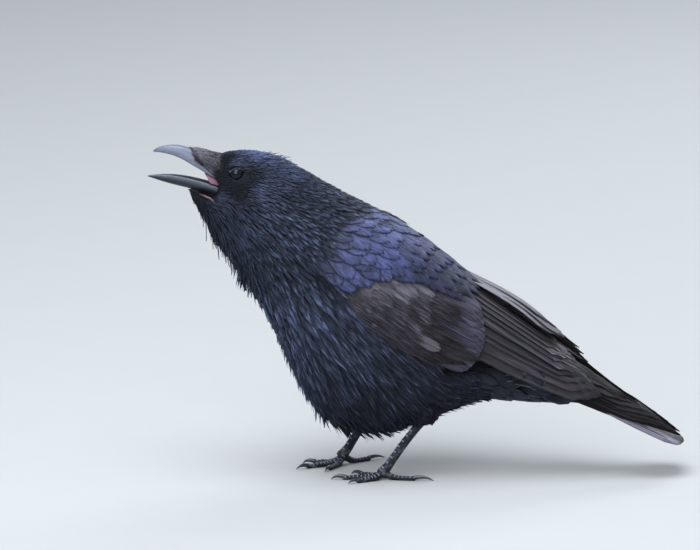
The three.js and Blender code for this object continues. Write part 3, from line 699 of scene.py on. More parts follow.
class Finish:
    """A material under construction, with a Principled shader fed by what is set on it."""

    def __init__(self, name, **constants):
        self.material = bpy.data.materials.new(name)
        self.material.use_nodes = True
        self.tree = self.material.node_tree
        self.tree.nodes.clear()
        output = self.tree.nodes.new("ShaderNodeOutputMaterial")
        self.shader = self.tree.nodes.new("ShaderNodeBsdfPrincipled")
        self.tree.links.new(self.shader.outputs[0], output.inputs["Surface"])
        for words, value in constants.items():
            self.shader.inputs[words.replace("_", " ")].default_value = value

    def node(self, kind, settings=None, inputs=None, output=0):
        """Adds a node and gives the socket that output names, or a list for a tuple of them."""
        node = self.tree.nodes.new(kind)
        for key, value in (settings or {}).items():
            setattr(node, key, value)
        for key, value in (inputs or {}).items():
            self.feed(node.inputs[key], value)
        if isinstance(output, tuple):
            return [Shade(self.tree, node.outputs[key]) for key in output]
        return Shade(self.tree, node.outputs[output])

    def feed(self, socket, value):
        """Links a socket to a shade, or sets it to a number or a colour."""
        if isinstance(value, Shade):
            self.tree.links.new(value.socket, socket)
        elif hasattr(value, "__len__") and len(value) < len(socket.default_value):
            socket.default_value = (*value, 1.0)
        else:
            socket.default_value = value

    def paint(self, **values):
        """Feeds inputs of the shader, named with underscores for spaces."""
        for words, value in values.items():
            self.feed(self.shader.inputs[words.replace("_", " ")], value)

    def object_place(self):
        return self.node("ShaderNodeTexCoord", output="Object")

    def stretched(self, place, scale):
        return self.node("ShaderNodeMapping", inputs={"Vector": place, "Scale": scale})

    def joined(self, *parts):
        """A place made of three numbers."""
        return self.node("ShaderNodeCombineXYZ", inputs=dict(enumerate(parts)))

    def noise(self, place, scale, detail=3.0, roughness=0.5):
        inputs = {"Vector": place, "Scale": scale, "Detail": detail, "Roughness": roughness}
        return self.node("ShaderNodeTexNoise", inputs=inputs)

    def chart(self, name):
        """The two shares of a map."""
        place = self.node("ShaderNodeUVMap", {"uv_map": name})
        return self.node("ShaderNodeSeparateXYZ", inputs={0: place}, output=(0, 1))

    def attribute(self, name):
        return self.node("ShaderNodeAttribute", {"attribute_name": name}, output="Fac")

    def tones(self):
        """The four tones that a feather carries: gloss (painted sheen), brown, dark (painted shade)
        and pale edge.
        """
        carried = {"attribute_name": "tone"}
        first, last = self.node("ShaderNodeAttribute", carried, output=("Color", "Alpha"))
        return [*self.node("ShaderNodeSeparateColor", inputs={0: first}, output=(0, 1, 2)), last]

    def mix(self, share, first, second):
        """Blends two colours; the node's colour sockets are numbers 6, 7 and 2."""
        inputs = {0: share, 6: first, 7: second}
        return self.node("ShaderNodeMix", {"data_type": "RGBA"}, inputs, output=2)

    def bump(self, height, distance, strength):
        """Gives the surface its relief, and hands over the finished material."""
        inputs = {"Height": height, "Distance": distance, "Strength": strength}
        self.paint(Normal=self.node("ShaderNodeBump", inputs=inputs))
        return self.material


def feather_finish(
    name, plumage, gloss, roughness, streak, even, specular=0.3, sheen=0.08, deep=0.7
):
    """Black vanes with a painted sheen along the middle, loose strands, darker or paler edges and a
    shaft.

    streak is how much of the painted sheen keeps to the middle, even how alike the feathers shine
    and deep how much painted shade darkens them towards their roots.
    """
    made = Finish(
        name,
        Specular_IOR_Level=specular,
        Specular_Tint=(0.74, 0.83, 1.0, 1.0),
        Sheen_Weight=sheen,
        Sheen_Roughness=0.45,
        Sheen_Tint=(0.55, 0.64, 0.95, 1.0),
    )
    across, along = made.chart("Vane")
    side = abs(across * 2 - 1)
    blue, brown, dark, pale = made.tones()
    chance, reach = made.attribute("chance"), made.attribute("reach")
    place = made.object_place()
    patchy = made.noise(place, 34.0, 3.0)
    fine = made.noise(place, 320.0, 2.0)
    lane = made.joined(side * 6.5, along * reach * 6.0 - side * 2.2, chance * 60 + across * 2)
    strands = made.noise(lane, 1.0, 4.0, 0.6).step(0.36, 0.66)

    base = made.mix((brown * (0.35 + patchy * 1.3)).held(), plumage.black, plumage.brown)
    # Painted bluish sheen in the base colour, along each feather's middle and in broad patches.
    middle = (1 - side.step(0.10, 0.85)) * along.step(0.15, 0.60) * (1 - along.step(0.93, 1.0))
    painted_sheen = blue * (streak * middle + (1 - streak) * (1 - 0.6 * side.step(0.55, 1.0)))
    painted_sheen = painted_sheen * (even + (1.4 - even) * chance * chance)
    painted_sheen = painted_sheen * (0.30 + 0.95 * strands) * (0.3 + 1.4 * patchy)
    base = made.mix(painted_sheen.held(), base, gloss)
    rim = (side.step(0.82, 0.97) + along.step(0.90, 0.985)).held()
    shaft = (1 - side.step(0.015, 0.055)) * (0.35 + 0.3 * brown)
    base = made.mix((shaft * 0.5).held(), base, FEATHER_SHAFT)
    # Painted shade: darker towards the covered roots and where the dark tone is high.
    shade = (dark * 0.9 + (1 - along.step(0.0, 0.40)) * deep).held()
    base = made.mix(shade, base, FEATHER_ROOT_SHADE)
    base = made.mix((rim * pale * (0.5 + 0.8 * fine)).held(), base, plumage.pale_edge)

    rough = roughness + 0.20 * (1 - strands) + 0.15 * dark
    made.paint(Base_Color=base, Roughness=rough.held())
    return made.bump(strands * 0.9 + fine * 0.35 + (1 - shaft) * 0.2, 0.00028, 0.9)


def flight_finish(name, plumage, shine=0.2):
    """Long stiff vanes: brownish black with fine pale lines, a painted sheen and a pale outer edge.

    The fraction of the pale tone is the share of that edge, and what it has over 1 is the share
    of a pale wash all over the vane: fading on the coverts, painted sheen on the tail's outer
    feathers and the far wing. Each root and one side of the vane carry painted shade.
    """
    made = Finish(
        name,
        Specular_IOR_Level=shine,
        Specular_Tint=(1.0, 0.93, 0.94, 1.0),
        Sheen_Weight=shine * 0.3,
        Sheen_Roughness=0.4,
        Sheen_Tint=(0.78, 0.74, 0.85, 1.0),
    )
    across, along = made.chart("Vane")
    side = abs(across * 2 - 1)
    blue, brown, dark, pale = made.tones()
    chance, reach = made.attribute("chance"), made.attribute("reach")
    lane = made.joined(across * 9.0, along * reach * 1.1 - side * 0.4, chance * 50)
    streaks = made.noise(lane, 1.0, 5.0, 0.65).step(0.34, 0.70)
    thin = made.noise(made.joined(across * 36.0, along * reach * 1.6, chance * 70), 1.0, 3.0, 0.6)
    fine = made.noise(made.object_place(), 300.0, 2.0)
    patchy = made.noise(made.object_place(), 38.0, 3.0)
    worn = brown * (0.15 + 1.0 * streaks * (0.4 + patchy) + 0.35 * chance)
    base = made.mix(worn.held(), plumage.black, plumage.brown)
    # Painted purplish sheen in the base colour, in streaks and broad patches.
    painted_sheen = blue * (0.2 + 1.0 * streaks) * (0.3 + 1.2 * patchy)
    base = made.mix(painted_sheen.held(), base, plumage.violet_sheen)
    hair = thin.step(0.56, 0.70) * (0.25 + 0.5 * patchy) * (brown + 0.15)
    base = made.mix((hair * 0.5).held(), base, plumage.pale_edge)
    base = made.mix((pale - 1).held() * (0.6 + 0.4 * streaks), base, plumage.fade_and_sheen)
    outer = across.step(0.86, 0.98) + 0.5 * along.step(0.965, 0.995)
    rim = outer * pale.fraction() * (0.4 + 0.9 * fine)
    base = made.mix(rim.held(), base, plumage.pale_edge)
    shaft = 1 - side.step(0.012, 0.045)
    base = made.mix((shaft * 0.6).held(), base, FLIGHT_SHAFT)
    # Painted shade: darker towards each root, along one side of the vane, and where the dark tone
    # is high.
    shade = (dark * (0.75 + 0.3 * (1 - across)) + (1 - along.step(0.0, 0.3)) * 0.5).held()
    base = made.mix(shade * 0.92, base, FLIGHT_ROOT_SHADE)
    made.paint(Base_Color=base, Roughness=(0.50 - 0.10 * streaks + 0.1 * dark).held())
    return made.bump(thin * 0.5 + streaks * 0.7 + shaft * 0.8, 0.0002, 0.8)


def skin_finish(plumage):
    """Down and skin deep between the feathers."""
    made = Finish("down", Specular_IOR_Level=0.2)
    place = made.object_place()
    down = made.noise(place, 420.0, 5.0, 0.7)
    base = made.mix((down * 0.8).held(), DOWN_DARK, plumage.black)
    made.paint(Base_Color=base, Roughness=(0.75 + 0.2 * down).held())
    return made.bump(down, 0.0006, 0.9)


def horn_finish(name, ground, edge, tip_share, edge_wear_and_highlight=0.55, shine=0.8):
    """Slate horn with fine growth lines, paler along its cutting edges (part wear, part painted
    highlight) and worn paler at its tip.
    """
    made = Finish(name, Specular_IOR_Level=shine, Specular_Tint=(0.85, 0.92, 1.0, 1.0))
    _, along = made.chart(HORN_MAP)
    place = made.object_place()
    cloudy = made.noise(place, 90.0, 4.0, 0.55)
    scratches = made.noise(made.stretched(place, (60.0, 500.0, 500.0)), 1.0, 4.0, 0.6)
    base = made.mix((0.3 + 0.5 * cloudy).held(), HORN_DARK, ground)
    rim = made.attribute("rim")
    # Paler edges: part wear, part painted highlight; the tip is worn paler.
    worn = (rim * edge_wear_and_highlight * (1 + cloudy) + along.step(tip_share, 1.0) * 0.85).held()
    base = made.mix(worn, base, edge)
    flakes = made.noise(place, 700.0, 2.0)
    base = made.mix(flakes.step(0.66, 0.76) * 0.3, base, edge)
    rough = 0.20 + 0.22 * scratches - 0.1 * rim + 0.06 * cloudy
    made.paint(Base_Color=base, Roughness=rough.held())
    lines = (along * 260.0 + cloudy * 10.0).sine() * 0.5 + 0.5
    return made.bump(scratches * 0.6 + lines * 0.12, 0.00015, 0.6)


def bristle_finish(face):
    """Stiff hairs, some black and some greyish brown, the upper and longer ones paler."""
    made = Finish("bristles", Specular_IOR_Level=0.35, Specular_Tint=(0.9, 0.92, 1.0, 1.0))
    chance = made.attribute("chance")
    bright, _, _, _ = made.tones()
    fine = made.noise(made.object_place(), 260.0, 3.0)
    light = (1.6 * chance * (0.25 + 1.3 * fine) * (0.12 + bright)).held()
    base = made.mix(light, BRISTLE_DARK, face.bristle)
    made.paint(Base_Color=base, Roughness=0.5 + 0.2 * fine)
    return made.material


def mouth_finish(name, deep, flesh):
    """Wet folded flesh."""
    made = Finish(name, Specular_IOR_Level=0.6, Subsurface_Weight=0.15, Subsurface_Scale=0.002)
    place = made.object_place()
    folds = made.noise(made.stretched(place, (160.0, 700.0, 260.0)), 1.0, 4.0, 0.6)
    base = made.mix((folds * 0.9).held(), deep, flesh)
    made.paint(Base_Color=base, Roughness=(0.22 + 0.25 * folds).held())
    return made.bump(folds, 0.0004, 0.8)


def eye_finish(face):
    """A black pupil in a dark brown iris, seen through a wet cornea."""
    made = Finish("eye", Specular_IOR_Level=0.36, Specular_Tint=(0.62, 0.74, 1.0, 1.0))
    around, turn = made.chart(IRIS_MAP)
    place = made.node("ShaderNodeUVMap", {"uv_map": IRIS_MAP})
    rays = made.noise(made.stretched(place, (2.0, 40.0, 1.0)), 3.0)
    iris = made.mix(rays, IRIS_DARK, face.iris)
    base = made.mix(around.step(0.26, 0.29), PUPIL, iris)
    base = made.mix(around.step(0.50, 0.58), base, WHITE_OF_EYE)
    made.paint(Base_Color=base, Roughness=0.09 + 0.02 * turn)
    return made.material


def lid_finish(face):
    """Wrinkled bare skin with a broken light margin along the opening."""
    made = Finish("eyelid", Specular_IOR_Level=0.12)
    wrinkles = made.noise(made.object_place(), 900.0, 3.0)
    base = made.mix(wrinkles, LID_DARK, face.lid)
    base = made.mix(made.attribute("rim") * wrinkles.step(0.42, 0.60), base, face.horn)
    made.paint(Base_Color=base, Roughness=0.55 + 0.15 * wrinkles)
    return made.bump(wrinkles, 0.0002, 0.7)


def scale_finish(foot):
    """Dark scaly skin: scutes with painted bluish highlights along their edges down the front, and
    small scales behind.
    """
    made = Finish("leg_scales", Specular_IOR_Level=0.3, Specular_Tint=(0.8, 0.88, 1.0, 1.0))
    scute, front = made.attribute("scute"), made.attribute("front")
    place = made.object_place()
    to_edge = {"feature": "DISTANCE_TO_EDGE"}
    cells = made.node("ShaderNodeTexVoronoi", to_edge, {"Vector": place, "Scale": 620.0})
    worn = made.noise(place, 240.0, 4.0)
    step = scute.fraction()
    # Painted highlight along the edge of each scute down the front.
    edge = step.step(0.72, 0.95) * (1 - step.step(0.95, 1.0)) * front
    base = made.mix((0.25 + 0.6 * worn).held(), SCALE_DARK, foot.scale)
    base = made.mix((edge * (0.5 + 1.2 * worn)).held(), base, foot.scale_highlight_and_dust)
    groove = (1 - cells.step(0.0, 0.12)) * (1 - front)
    base = made.mix((groove * 0.8).held(), base, SCALE_GROOVE)
    dusty = made.noise(place, 130.0, 4.0, 0.7)
    base = made.mix(dusty.step(0.52, 0.66) * 0.45 * (0.2 + worn), base, foot.scale_highlight_and_dust)
    made.paint(Base_Color=base, Roughness=(0.34 + 0.3 * worn).held())
    height = step * front * 0.8 + cells.step(0.0, 0.2) * (1 - front) * 0.7 + worn * 0.2
    return made.bump(height, 0.0003, 0.8)


# ------------------------------------------------------------------ the body's coat
ROOT_STRETCH = 0.45  # the space between roots across the lie, as a share of that along it
ROOT_CLEAR = 0.82  # the least space between roots, as a share of their gap
ROOT_TRIES = 4  # how many places are drawn for each root that there is room for
COVERED = 5  # in mm, the half width below which feathers are left out under a wing
WING_REACH = 0.03  # in metres, how far off the coat a wing is looked for
SKIN_CLEAR = 0.0005  # in metres, how far off the coat or the wing that search starts
VARY = (0.8, 1.2)  # how much shorter, longer, narrower or wider single feathers are

# How one build of body feathers differs from what the coat says: shares of their length, sinking,
# looseness, width and tones, and besides them drift (how far a feather strays from the lie), level
# (in mm, how far its tip stands off), camber, and widest (in mm, the half width above which the
# coat's feathers are left out). rings, columns and samples are the fineness of a vane.
VANE = {
    "rings": 6, "columns": 7, "samples": 6, "long": 1.0, "deep": 0.9, "loose": 1.0, "slim": 1.0,
    "bright": 1.0, "brown": 0.0, "dark": 1.0, "pale": 0.0, "drift": 0.09, "level": 0.0,
    "camber": 0.06, "widest": 99.0,
}
WISP = {
    **VANE, "rings": 4, "columns": 3, "samples": 5, "deep": 0.15, "loose": 1.2, "slim": 0.13,
    "bright": 0.85, "brown": 0.12, "dark": 0.8, "drift": 0.16, "camber": 0.0, "widest": 4.0,
}


class Hide:
    """The surface that feathers reach out to, with the coat's values on each of its faces."""

    def __init__(self, guide):
        self.guide = guide
        mesh = guide.data
        places, normals = read_mesh(mesh)
        corners = [face.vertices[:] for face in mesh.polygons]
        self.faces = np.array([four for four in corners if len(four) == 4])
        self.places = places
        self.centres = places[self.faces].mean(1)
        self.outward = unit(normals[self.faces].mean(1))
        spans = places[self.faces[:, 2]] - places[self.faces[:, 0]]
        others = places[self.faces[:, 3]] - places[self.faces[:, 1]]
        self.areas = np.linalg.norm(np.cross(spans, others), axis=1) / 2
        self.tree = BVHTree.FromPolygons(places.tolist(), self.faces.tolist())
        self.values = coat_values(self.centres)
        lie = np.radians(self.values["lie"])
        ahead = np.stack([np.cos(lie), np.zeros(len(lie)), np.sin(lie)], 1)
        ahead -= (ahead * self.outward).sum(1)[:, None] * self.outward
        self.ahead = unit(ahead)

    def roots(self, gap, rng, keep):
        """Scatters roots over the faces that keep marks, gap apart across the lie."""
        weight = self.areas * keep * ROOT_STRETCH / gap**2
        count = int(weight.sum() * ROOT_TRIES)
        picks = rng.choice(len(weight), size=count, p=weight / weight.sum())
        mix = rng.dirichlet([1, 1, 1, 1], size=count)
        spots = (self.places[self.faces[picks]] * mix[..., None]).sum(1)
        cell = (gap * keep).max() * ROOT_CLEAR / ROOT_STRETCH
        grid, chosen = {}, []
        keys = np.floor(spots / cell).astype(int).tolist()
        near = [(i, j, k) for i in (-1, 0, 1) for j in (-1, 0, 1) for k in (-1, 0, 1)]
        slack = 1 - ROOT_STRETCH**2
        ways = self.ahead[picks].tolist()
        limits = ((gap[picks] * ROOT_CLEAR) ** 2).tolist()
        for n, ((x, y, z), key, way, limit) in enumerate(zip(spots.tolist(), keys, ways, limits)):
            clear = True
            for i, j, k in near:
                for a, b, c in grid.get((key[0] + i, key[1] + j, key[2] + k), ()):
                    a, b, c = a - x, b - y, c - z
                    along = a * way[0] + b * way[1] + c * way[2]
                    if a * a + b * b + c * c - slack * along * along < limit:
                        clear = False
                        break
                if not clear:
                    break
            if clear:
                grid.setdefault(tuple(key), []).append((x, y, z))
                chosen.append(n)
        return spots[chosen], picks[chosen]

    def follow(self, spot, face, size, drift, samples, cover):
        """Runs a line along the lie from a root, over cover's surface where that stands higher."""
        step = size / (samples - 1)
        line, out = [], []
        place = Vector(spot)
        for _ in range(samples):
            found, _, face, _ = self.tree.find_nearest(place)
            normal = Vector(self.outward[face])
            on = found
            if cover is not None:
                start = found + normal * WING_REACH
                hit, over, _, _ = cover.ray_cast(start, -normal, WING_REACH + SKIN_CLEAR)
                if hit is not None:
                    on = hit
                    normal = (normal + (over if over.dot(normal) > 0 else -over)).normalized()
            line.append(on[:])
            out.append(normal[:])
            ahead = Vector(self.ahead[face])
            side = ahead.cross(normal)
            place = found + (ahead + side * drift).normalized() * step
        return np.array(line), np.array(out)


def dressed(name, spots, picks, skin, plumage, rng, build):
    """Grows body feathers from roots and joins them in a piece."""
    values = {key: value[picks] for key, value in skin.values.items()}
    vanes = Vanes(build["rings"], build["columns"])
    share = np.linspace(0, 1, build["samples"])
    patches = unwrap(spots)
    pale = build["pale"] * smooth(values["half"], 3.0, 6.5)

    def covered(place, away):
        return wings().ray_cast(place + away * SKIN_CLEAR, away, WING_REACH)[0] is not None

    for n, (spot, face) in enumerate(zip(spots, picks)):
        coat = {key: value[n] for key, value in values.items()}
        size = coat["length"] * MM * build["long"] * rng.uniform(*VARY)
        under = covered(Vector(spot), Vector(skin.outward[face]))
        drift = rng.normal(0, build["drift"])
        cover = None if under else wings()
        line, out = skin.follow(spot, face, size, drift, len(share), cover)
        if under and coat["half"] < COVERED and covered(Vector(line[-1]), Vector(out[-1])):
            continue
        depth = coat["depth"] * MM * build["deep"]
        loose = coat["loose"] * MM * build["loose"]
        loose *= 0.3 + 2.2 * rng.random() ** 3
        rise = loose * share**2.5 - depth * (1 - smooth(share, -0.15, 0.75))
        rise += build["level"] * MM * share
        half = coat["half"] * MM * build["slim"] * rng.uniform(*VARY)
        point = np.clip(coat["point"] + rng.normal(0, 0.08), 0, 1)
        fray = np.clip(coat["fray"] * rng.uniform(0.6, 1.5), 0, 1)
        thick = min(plumage.vane_thickness, 0.3 * half)
        blue = coat["blue"] * (build["bright"] * rng.uniform(0.6, 1.4))
        brown, dark = coat["brown"] + build["brown"], coat["dark"] * build["dark"]
        vanes.add(
            line + out * rise[:, None], out, (half, point, fray, thick, build["camber"], 0.5),
            (blue, brown, dark, pale[n]), patches[n],
        )
    return vanes.build(name, rng.integers(1 << 30))


# ------------------------------------------------------------------ the wings' feathers
def wing_level(layer, share, side, angle):
    """How far a layer of the wing lies off the roof, in mm, as in the solids."""
    if layer == "scapulars":
        level = -TUCK * (1 - smooth(share, 0, 0.08))
    elif layer == "coverts":
        level = -LAYER - TUCK * (1 - smooth(share, 0.09, 0.18))
    elif layer == "secondaries":
        level = LAYER * (2 * smooth(share, 0.38, 0.66) - 2)
    else:
        level = LAYER * (2 * smooth(share, 0.38, 0.66) + smooth(share, 0.72, 0.9) - 3)
    overlap = smooth(share, 0.25, 0.45) * (1 - smooth(share, 0.6, 0.75)) * np.cos(angle) ** 2
    overlap = overlap * smooth(angle, -0.50, 0.05)
    follow = {"primaries": 0.5, "scapulars": 0.15}.get(layer, 1.0)
    return level + (RIGHT_WING_RISE * overlap * follow if side > 0 else 0)


def place_on(surface, side, layer, root, tip, rise, bow=0.0, samples=11):
    """A feather's midline and outward directions on a wing or tail surface.

    root and tip are (share along, degrees round), rise the lift of the root and the tip in mm and
    bow how many degrees the middle bends down.
    """
    share = np.linspace(0, 1, samples)
    along = root[0] + (tip[0] - root[0]) * share
    degrees = root[1] + (tip[1] - root[1]) * share + bow * np.sin(math.pi * share)
    angle = np.radians(degrees)

    def lift(extra):
        base = wing_level(layer, along, side, angle) if layer else 0.0
        return base + rise[0] + (rise[1] - rise[0]) * share + extra

    line = surface(along, side * angle, lift(0.0))
    out = unit(surface(along, side * angle, lift(1.0)) - line)
    return line, out


# Rows of feathers from the front of the wing backwards. Each row has a layer, how many feathers,
# their roots and tips as shares along the roof and degrees round it at the row's top and bottom,
# the half width in mm, the lift of root and tip, the point and fray of the tip, and tones (gloss,
# brown, dark, pale). The fraction of pale is the share of a pale outer edge, and what it has over
# 1 is the share of fading all over the feather.
# gloss is a share of painted sheen and dark a share of painted shade, deepest on the primaries.
WING_ROWS = [
    # name, layer, count, root top, root low, tip top, tip low, half, rise, shape, tones
    ("shoulder_1", "scapulars", 9, (-0.03, 12), (0.00, 88), (0.052, 12), (0.062, 95), 7.6,
     (-1.6, 0.3), (0.1, 0.10), (0.60, 0.30, 0.0, 0.05)),
    ("shoulder_2", "scapulars", 9, (0.00, 6), (0.015, 84), (0.085, 8), (0.092, 97), 7.8,
     (-1.6, 0.3), (0.1, 0.08), (0.80, 0.25, 0.0, 0.08)),
    ("shoulder_3", "scapulars", 9, (0.03, 12), (0.040, 80), (0.118, 12), (0.118, 92), 8.0,
     (-1.6, 0.3), (0.1, 0.08), (0.95, 0.15, 0.0, 0.10)),
    ("shoulder_4", "scapulars", 8, (0.055, 6), (0.055, 74), (0.152, 7), (0.144, 83), 8.2,
     (-1.6, 0.3), (0.1, 0.06), (1.0, 0.10, 0.0, 0.12)),
    ("shoulder_5", "scapulars", 7, (0.085, 10), (0.080, 64), (0.188, 10), (0.172, 71), 8.4,
     (-1.6, 0.3), (0.15, 0.06), (0.85, 0.10, 0.05, 0.14)),
    ("shoulder_6", "scapulars", 7, (0.115, 6), (0.100, 54), (0.222, 7), (0.204, 59), 8.6,
     (-1.6, 0.3), (0.2, 0.06), (0.62, 0.10, 0.12, 0.18)),
    ("shoulder_7", "scapulars", 6, (0.14, 10), (0.12, 47), (0.256, 10), (0.238, 53), 8.8,
     (-1.6, -0.3), (0.25, 0.06), (0.42, 0.12, 0.24, 0.24)),
    ("shoulder_8", "scapulars", 5, (0.16, 6), (0.14, 42), (0.292, 8), (0.276, 50), 9.2,
     (-1.6, -1.2), (0.3, 0.06), (0.30, 0.15, 0.34, 0.30)),
    ("shoulder_9", "scapulars", 5, (0.18, 9), (0.16, 37), (0.332, 12), (0.312, 45), 9.0,
     (-1.6, -2.0), (0.35, 0.06), (0.22, 0.18, 0.42, 0.36)),
    ("edge_coverts_1", "coverts", 10, (0.05, 76), (0.04, 116), (0.118, 80), (0.125, 118), 4.6,
     (-1.6, 0.6), (0.3, 0.5), (0.30, 0.70, 0.0, 1.36)),
    ("edge_coverts_2", "coverts", 10, (0.08, 70), (0.07, 115), (0.150, 77), (0.160, 117), 4.8,
     (-1.6, 0.6), (0.3, 0.5), (0.15, 1.00, 0.0, 1.46)),
    ("edge_coverts_3", "coverts", 10, (0.105, 62), (0.10, 113), (0.186, 70), (0.196, 114), 5.0,
     (-1.6, 0.5), (0.3, 0.5), (0.10, 1.05, 0.0, 1.42)),
    ("middle_coverts_1", "coverts", 10, (0.135, 54), (0.13, 110), (0.222, 62), (0.236, 109), 5.4,
     (-1.6, 0.5), (0.25, 0.45), (0.10, 0.95, 0.0, 1.34)),
    ("middle_coverts_2", "coverts", 10, (0.165, 48), (0.16, 108), (0.258, 54), (0.276, 107), 5.8,
     (-1.6, 0.5), (0.2, 0.4), (0.15, 0.80, 0.0, 1.30)),
    ("great_coverts", "coverts", 11, (0.20, 38), (0.17, 108), (0.352, 46), (0.392, 104), 7.6,
     (-1.8, 0.3), (0.0, 0.06), (0.35, 0.65, 0.05, 1.12)),
    ("worn_covert", "coverts", 1, (0.24, 98), (0.24, 98), (0.322, 97), (0.322, 97), 4.6,
     (-0.6, 1.5), (0.1, 0.2), (0.0, 0.9, 0.0, 1.28)),
    ("primary_coverts", "coverts", 5, (0.19, 98), (0.17, 116), (0.405, 90), (0.345, 109), 6.5,
     (-2.0, -0.2), (0.3, 0.2), (0.05, 0.50, 0.55, 0.10)),
    ("edge_roll", "coverts", 8, (0.01, 106), (0.02, 121), (0.20, 106), (0.15, 117), 3.8,
     (-1.2, 0.9), (0.7, 0.4), (0.10, 0.75, 0.15, 0.05)),
    ("tertials", "secondaries", 5, (0.16, 14), (0.19, 36), (0.565, 5), (0.63, 30), 12.5,
     (-0.8, 0.8), (0.1, 0.25), (0.06, 0.70, 0.05, 0.35)),
    ("secondaries", "secondaries", 6, (0.18, 34), (0.26, 82), (0.60, 22), (0.70, 57), 11.5,
     (-1.0, 0.2), (0.15, 0.06), (0.06, 0.55, 0.20, 0.14)),
    ("primaries", "primaries", 9, (0.28, 46), (0.28, 84), (0.78, 14), (1.0, 42), 10.0,
     (-1.0, 0.1), (0.35, 0.04), (0.0, 0.40, 0.90, 0.05)),
]
RECTRICES = 12
TAIL_SPREAD = (44, 46)  # how many degrees round the tail's arch its outermost roots and tips lie
# The right wing's innermost feathers, which reach over the ridge: root and tip as shares along and
# degrees round, half width, lift, and tones, whose pale wash is painted sheen.
FAR_FEATHERS = [
    ((0.20, 2), (0.550, -3), 14.0, -0.2, (0.05, 0.90, 0.0, 1.06)),
    ((0.20, -2), (0.532, -9), 16.5, 1.0, (0.05, 0.70, 0.0, 1.32)),
]
FAR_SHORTER = 0.035  # how much less far the right wing's other inner feathers reach
# How much the right wing's other inner feathers are lightened with painted sheen.
FAR_SHEEN = 1.22
FAR_SINK = 2.4  # how much lower the tips of the right wing's shoulder feathers lie
LEFT_ONLY = ["worn_covert"]
FLIGHT_THICK = 0.0005
COVERT_THICK = 0.0004
HAIR_THICK = 0.00018
HAIRS = 800  # hair-like webs over the small coverts of a wing
FRINGE = 110  # loose webs along the left wing's innermost feathers
# From where along the wing to how far round it the hair-like webs reach up, and how pale they are.
HAIR_BORDER = [(0.0, 98), (0.09, 92), (0.15, 80), (0.20, 62), (0.28, 52)]
HAIR_LIGHT = [(0.0, 0.5), (0.05, 1.0), (0.12, 0.9), (0.19, 0.35), (0.27, 0.25)]
HAIR_LOW = 118


def tail_fan(plumage, rng):
    """The tail's feathers, the middle pair on top and each outer one under its neighbour."""
    vanes = Vanes(20, 13)
    for i in range(RECTRICES):
        out = (2 * i) / (RECTRICES - 1) - 1
        side, far = (1 if out > 0 else -1), abs(out)
        reach = 1 - 0.03 * out**2 - 0.004 * rng.random()
        root, tip = (0.02, TAIL_SPREAD[0] * far), (reach, TAIL_SPREAD[1] * far)
        level = -0.15 - 0.8 * far
        line, normal = place_on(tail_arch, side, None, root, tip, (level - 0.3, level))
        # The outer feathers carry a pale wash of painted sheen, stronger on the left than on the
        # right.
        pale = 0.4
        if far > 0.5:
            pale = 1.65 + 0.33 * smooth(far, 0.4, 0.9) if side < 0 else 1.2
        half = (9.4 - 3.2 * out**4) * MM
        vanes.add(
            line, normal, (half, 0.05, 0.02, FLIGHT_THICK, 0.02, 0.55), (0.10, 0.30, 0.15, pale),
            (0.02 + i * 0.08, 0.02, 0.07, 0.95),
        )
    return vanes.build("tail_vanes", plumage.seed + 5)


def wing_pieces(side_name, plumage, rng):
    """One wing's feathers, gathered by layer in a piece each."""
    side = SIDES[side_name]
    made = {}
    for name, layer, count, root0, root1, tip0, tip1, half, rise, shape, tones in WING_ROWS:
        flight = layer in ("secondaries", "primaries")
        vanes = made.setdefault(layer, Vanes(*((22, 13) if flight else (12, 11))))
        far_inner = side > 0 and name == "tertials"
        if side > 0 and name in LEFT_ONLY:
            continue
        for root, tip, wide, lift, shades in FAR_FEATHERS if far_inner else ():
            line, out = place_on(roof, side, layer, root, tip, (lift - 1, lift + 0.6), bow=2.0)
            vanes.add(line, out, (wide * MM, 0.05, 0.03, FLIGHT_THICK, 0.02, 0.55), shades)
        for k in range(count):
            share = (k + 0.25 * rng.uniform(-1, 1) * (not flight)) / max(count - 1, 1)
            share = min(max(share, 0), 1)
            root = tuple(a + (b - a) * share for a, b in zip(root0, root1))
            reach = math.sin(math.pi * share)
            tip = [a + (b - a) * share for a, b in zip(tip0, tip1)]
            if name == "primaries":
                tip = [0.77 + 0.23 * math.sin(2.3 * share), 14 + 28 * share]
            elif name == "great_coverts":
                tip[0] += 0.02 * reach
            elif not flight:
                tip[0] += 0.007 * rng.uniform(-1, 1) + 0.008 * reach
                tip[1] += rng.uniform(-2, 2)
            sink = 0.25 * k if flight or name == "great_coverts" else 0.05 * k
            lifts = [rise[0] - sink, rise[1] - sink * 0.6 + 0.15 * rng.uniform(-1, 1)]
            if side > 0 and layer == "scapulars":
                lifts[1] -= FAR_SINK
            if far_inner:
                tip[0] -= FAR_SHORTER
            line, out = place_on(roof, side, layer, root, tip, lifts, bow=2.0 * flight)
            vary = rng.uniform(0.7, 1.3) if layer == "scapulars" else rng.uniform(0.4, 1.5)
            fade_and_sheen = tones[3] > 1
            pale = fade_and_sheen + (tones[3] - fade_and_sheen) * rng.uniform(0.4, 1.5)
            wide = half * MM * rng.uniform(0.9, 1.1)
            vanes.add(
                line, out, (wide, *shape, COVERT_THICK, 0.05 - 0.03 * flight, 0.55),
                (tones[0] * vary, tones[1] * vary, tones[2], FAR_SHEEN if far_inner else pale),
            )
    made["hair"] = covert_hair(side, rng)
    for number, (layer, vanes) in enumerate(made.items()):
        seed = plumage.seed + number * 7 + (side > 0) * 31
        made[layer] = vanes.build(f"wing_{side_name}_{layer}_vanes", seed)
    return made


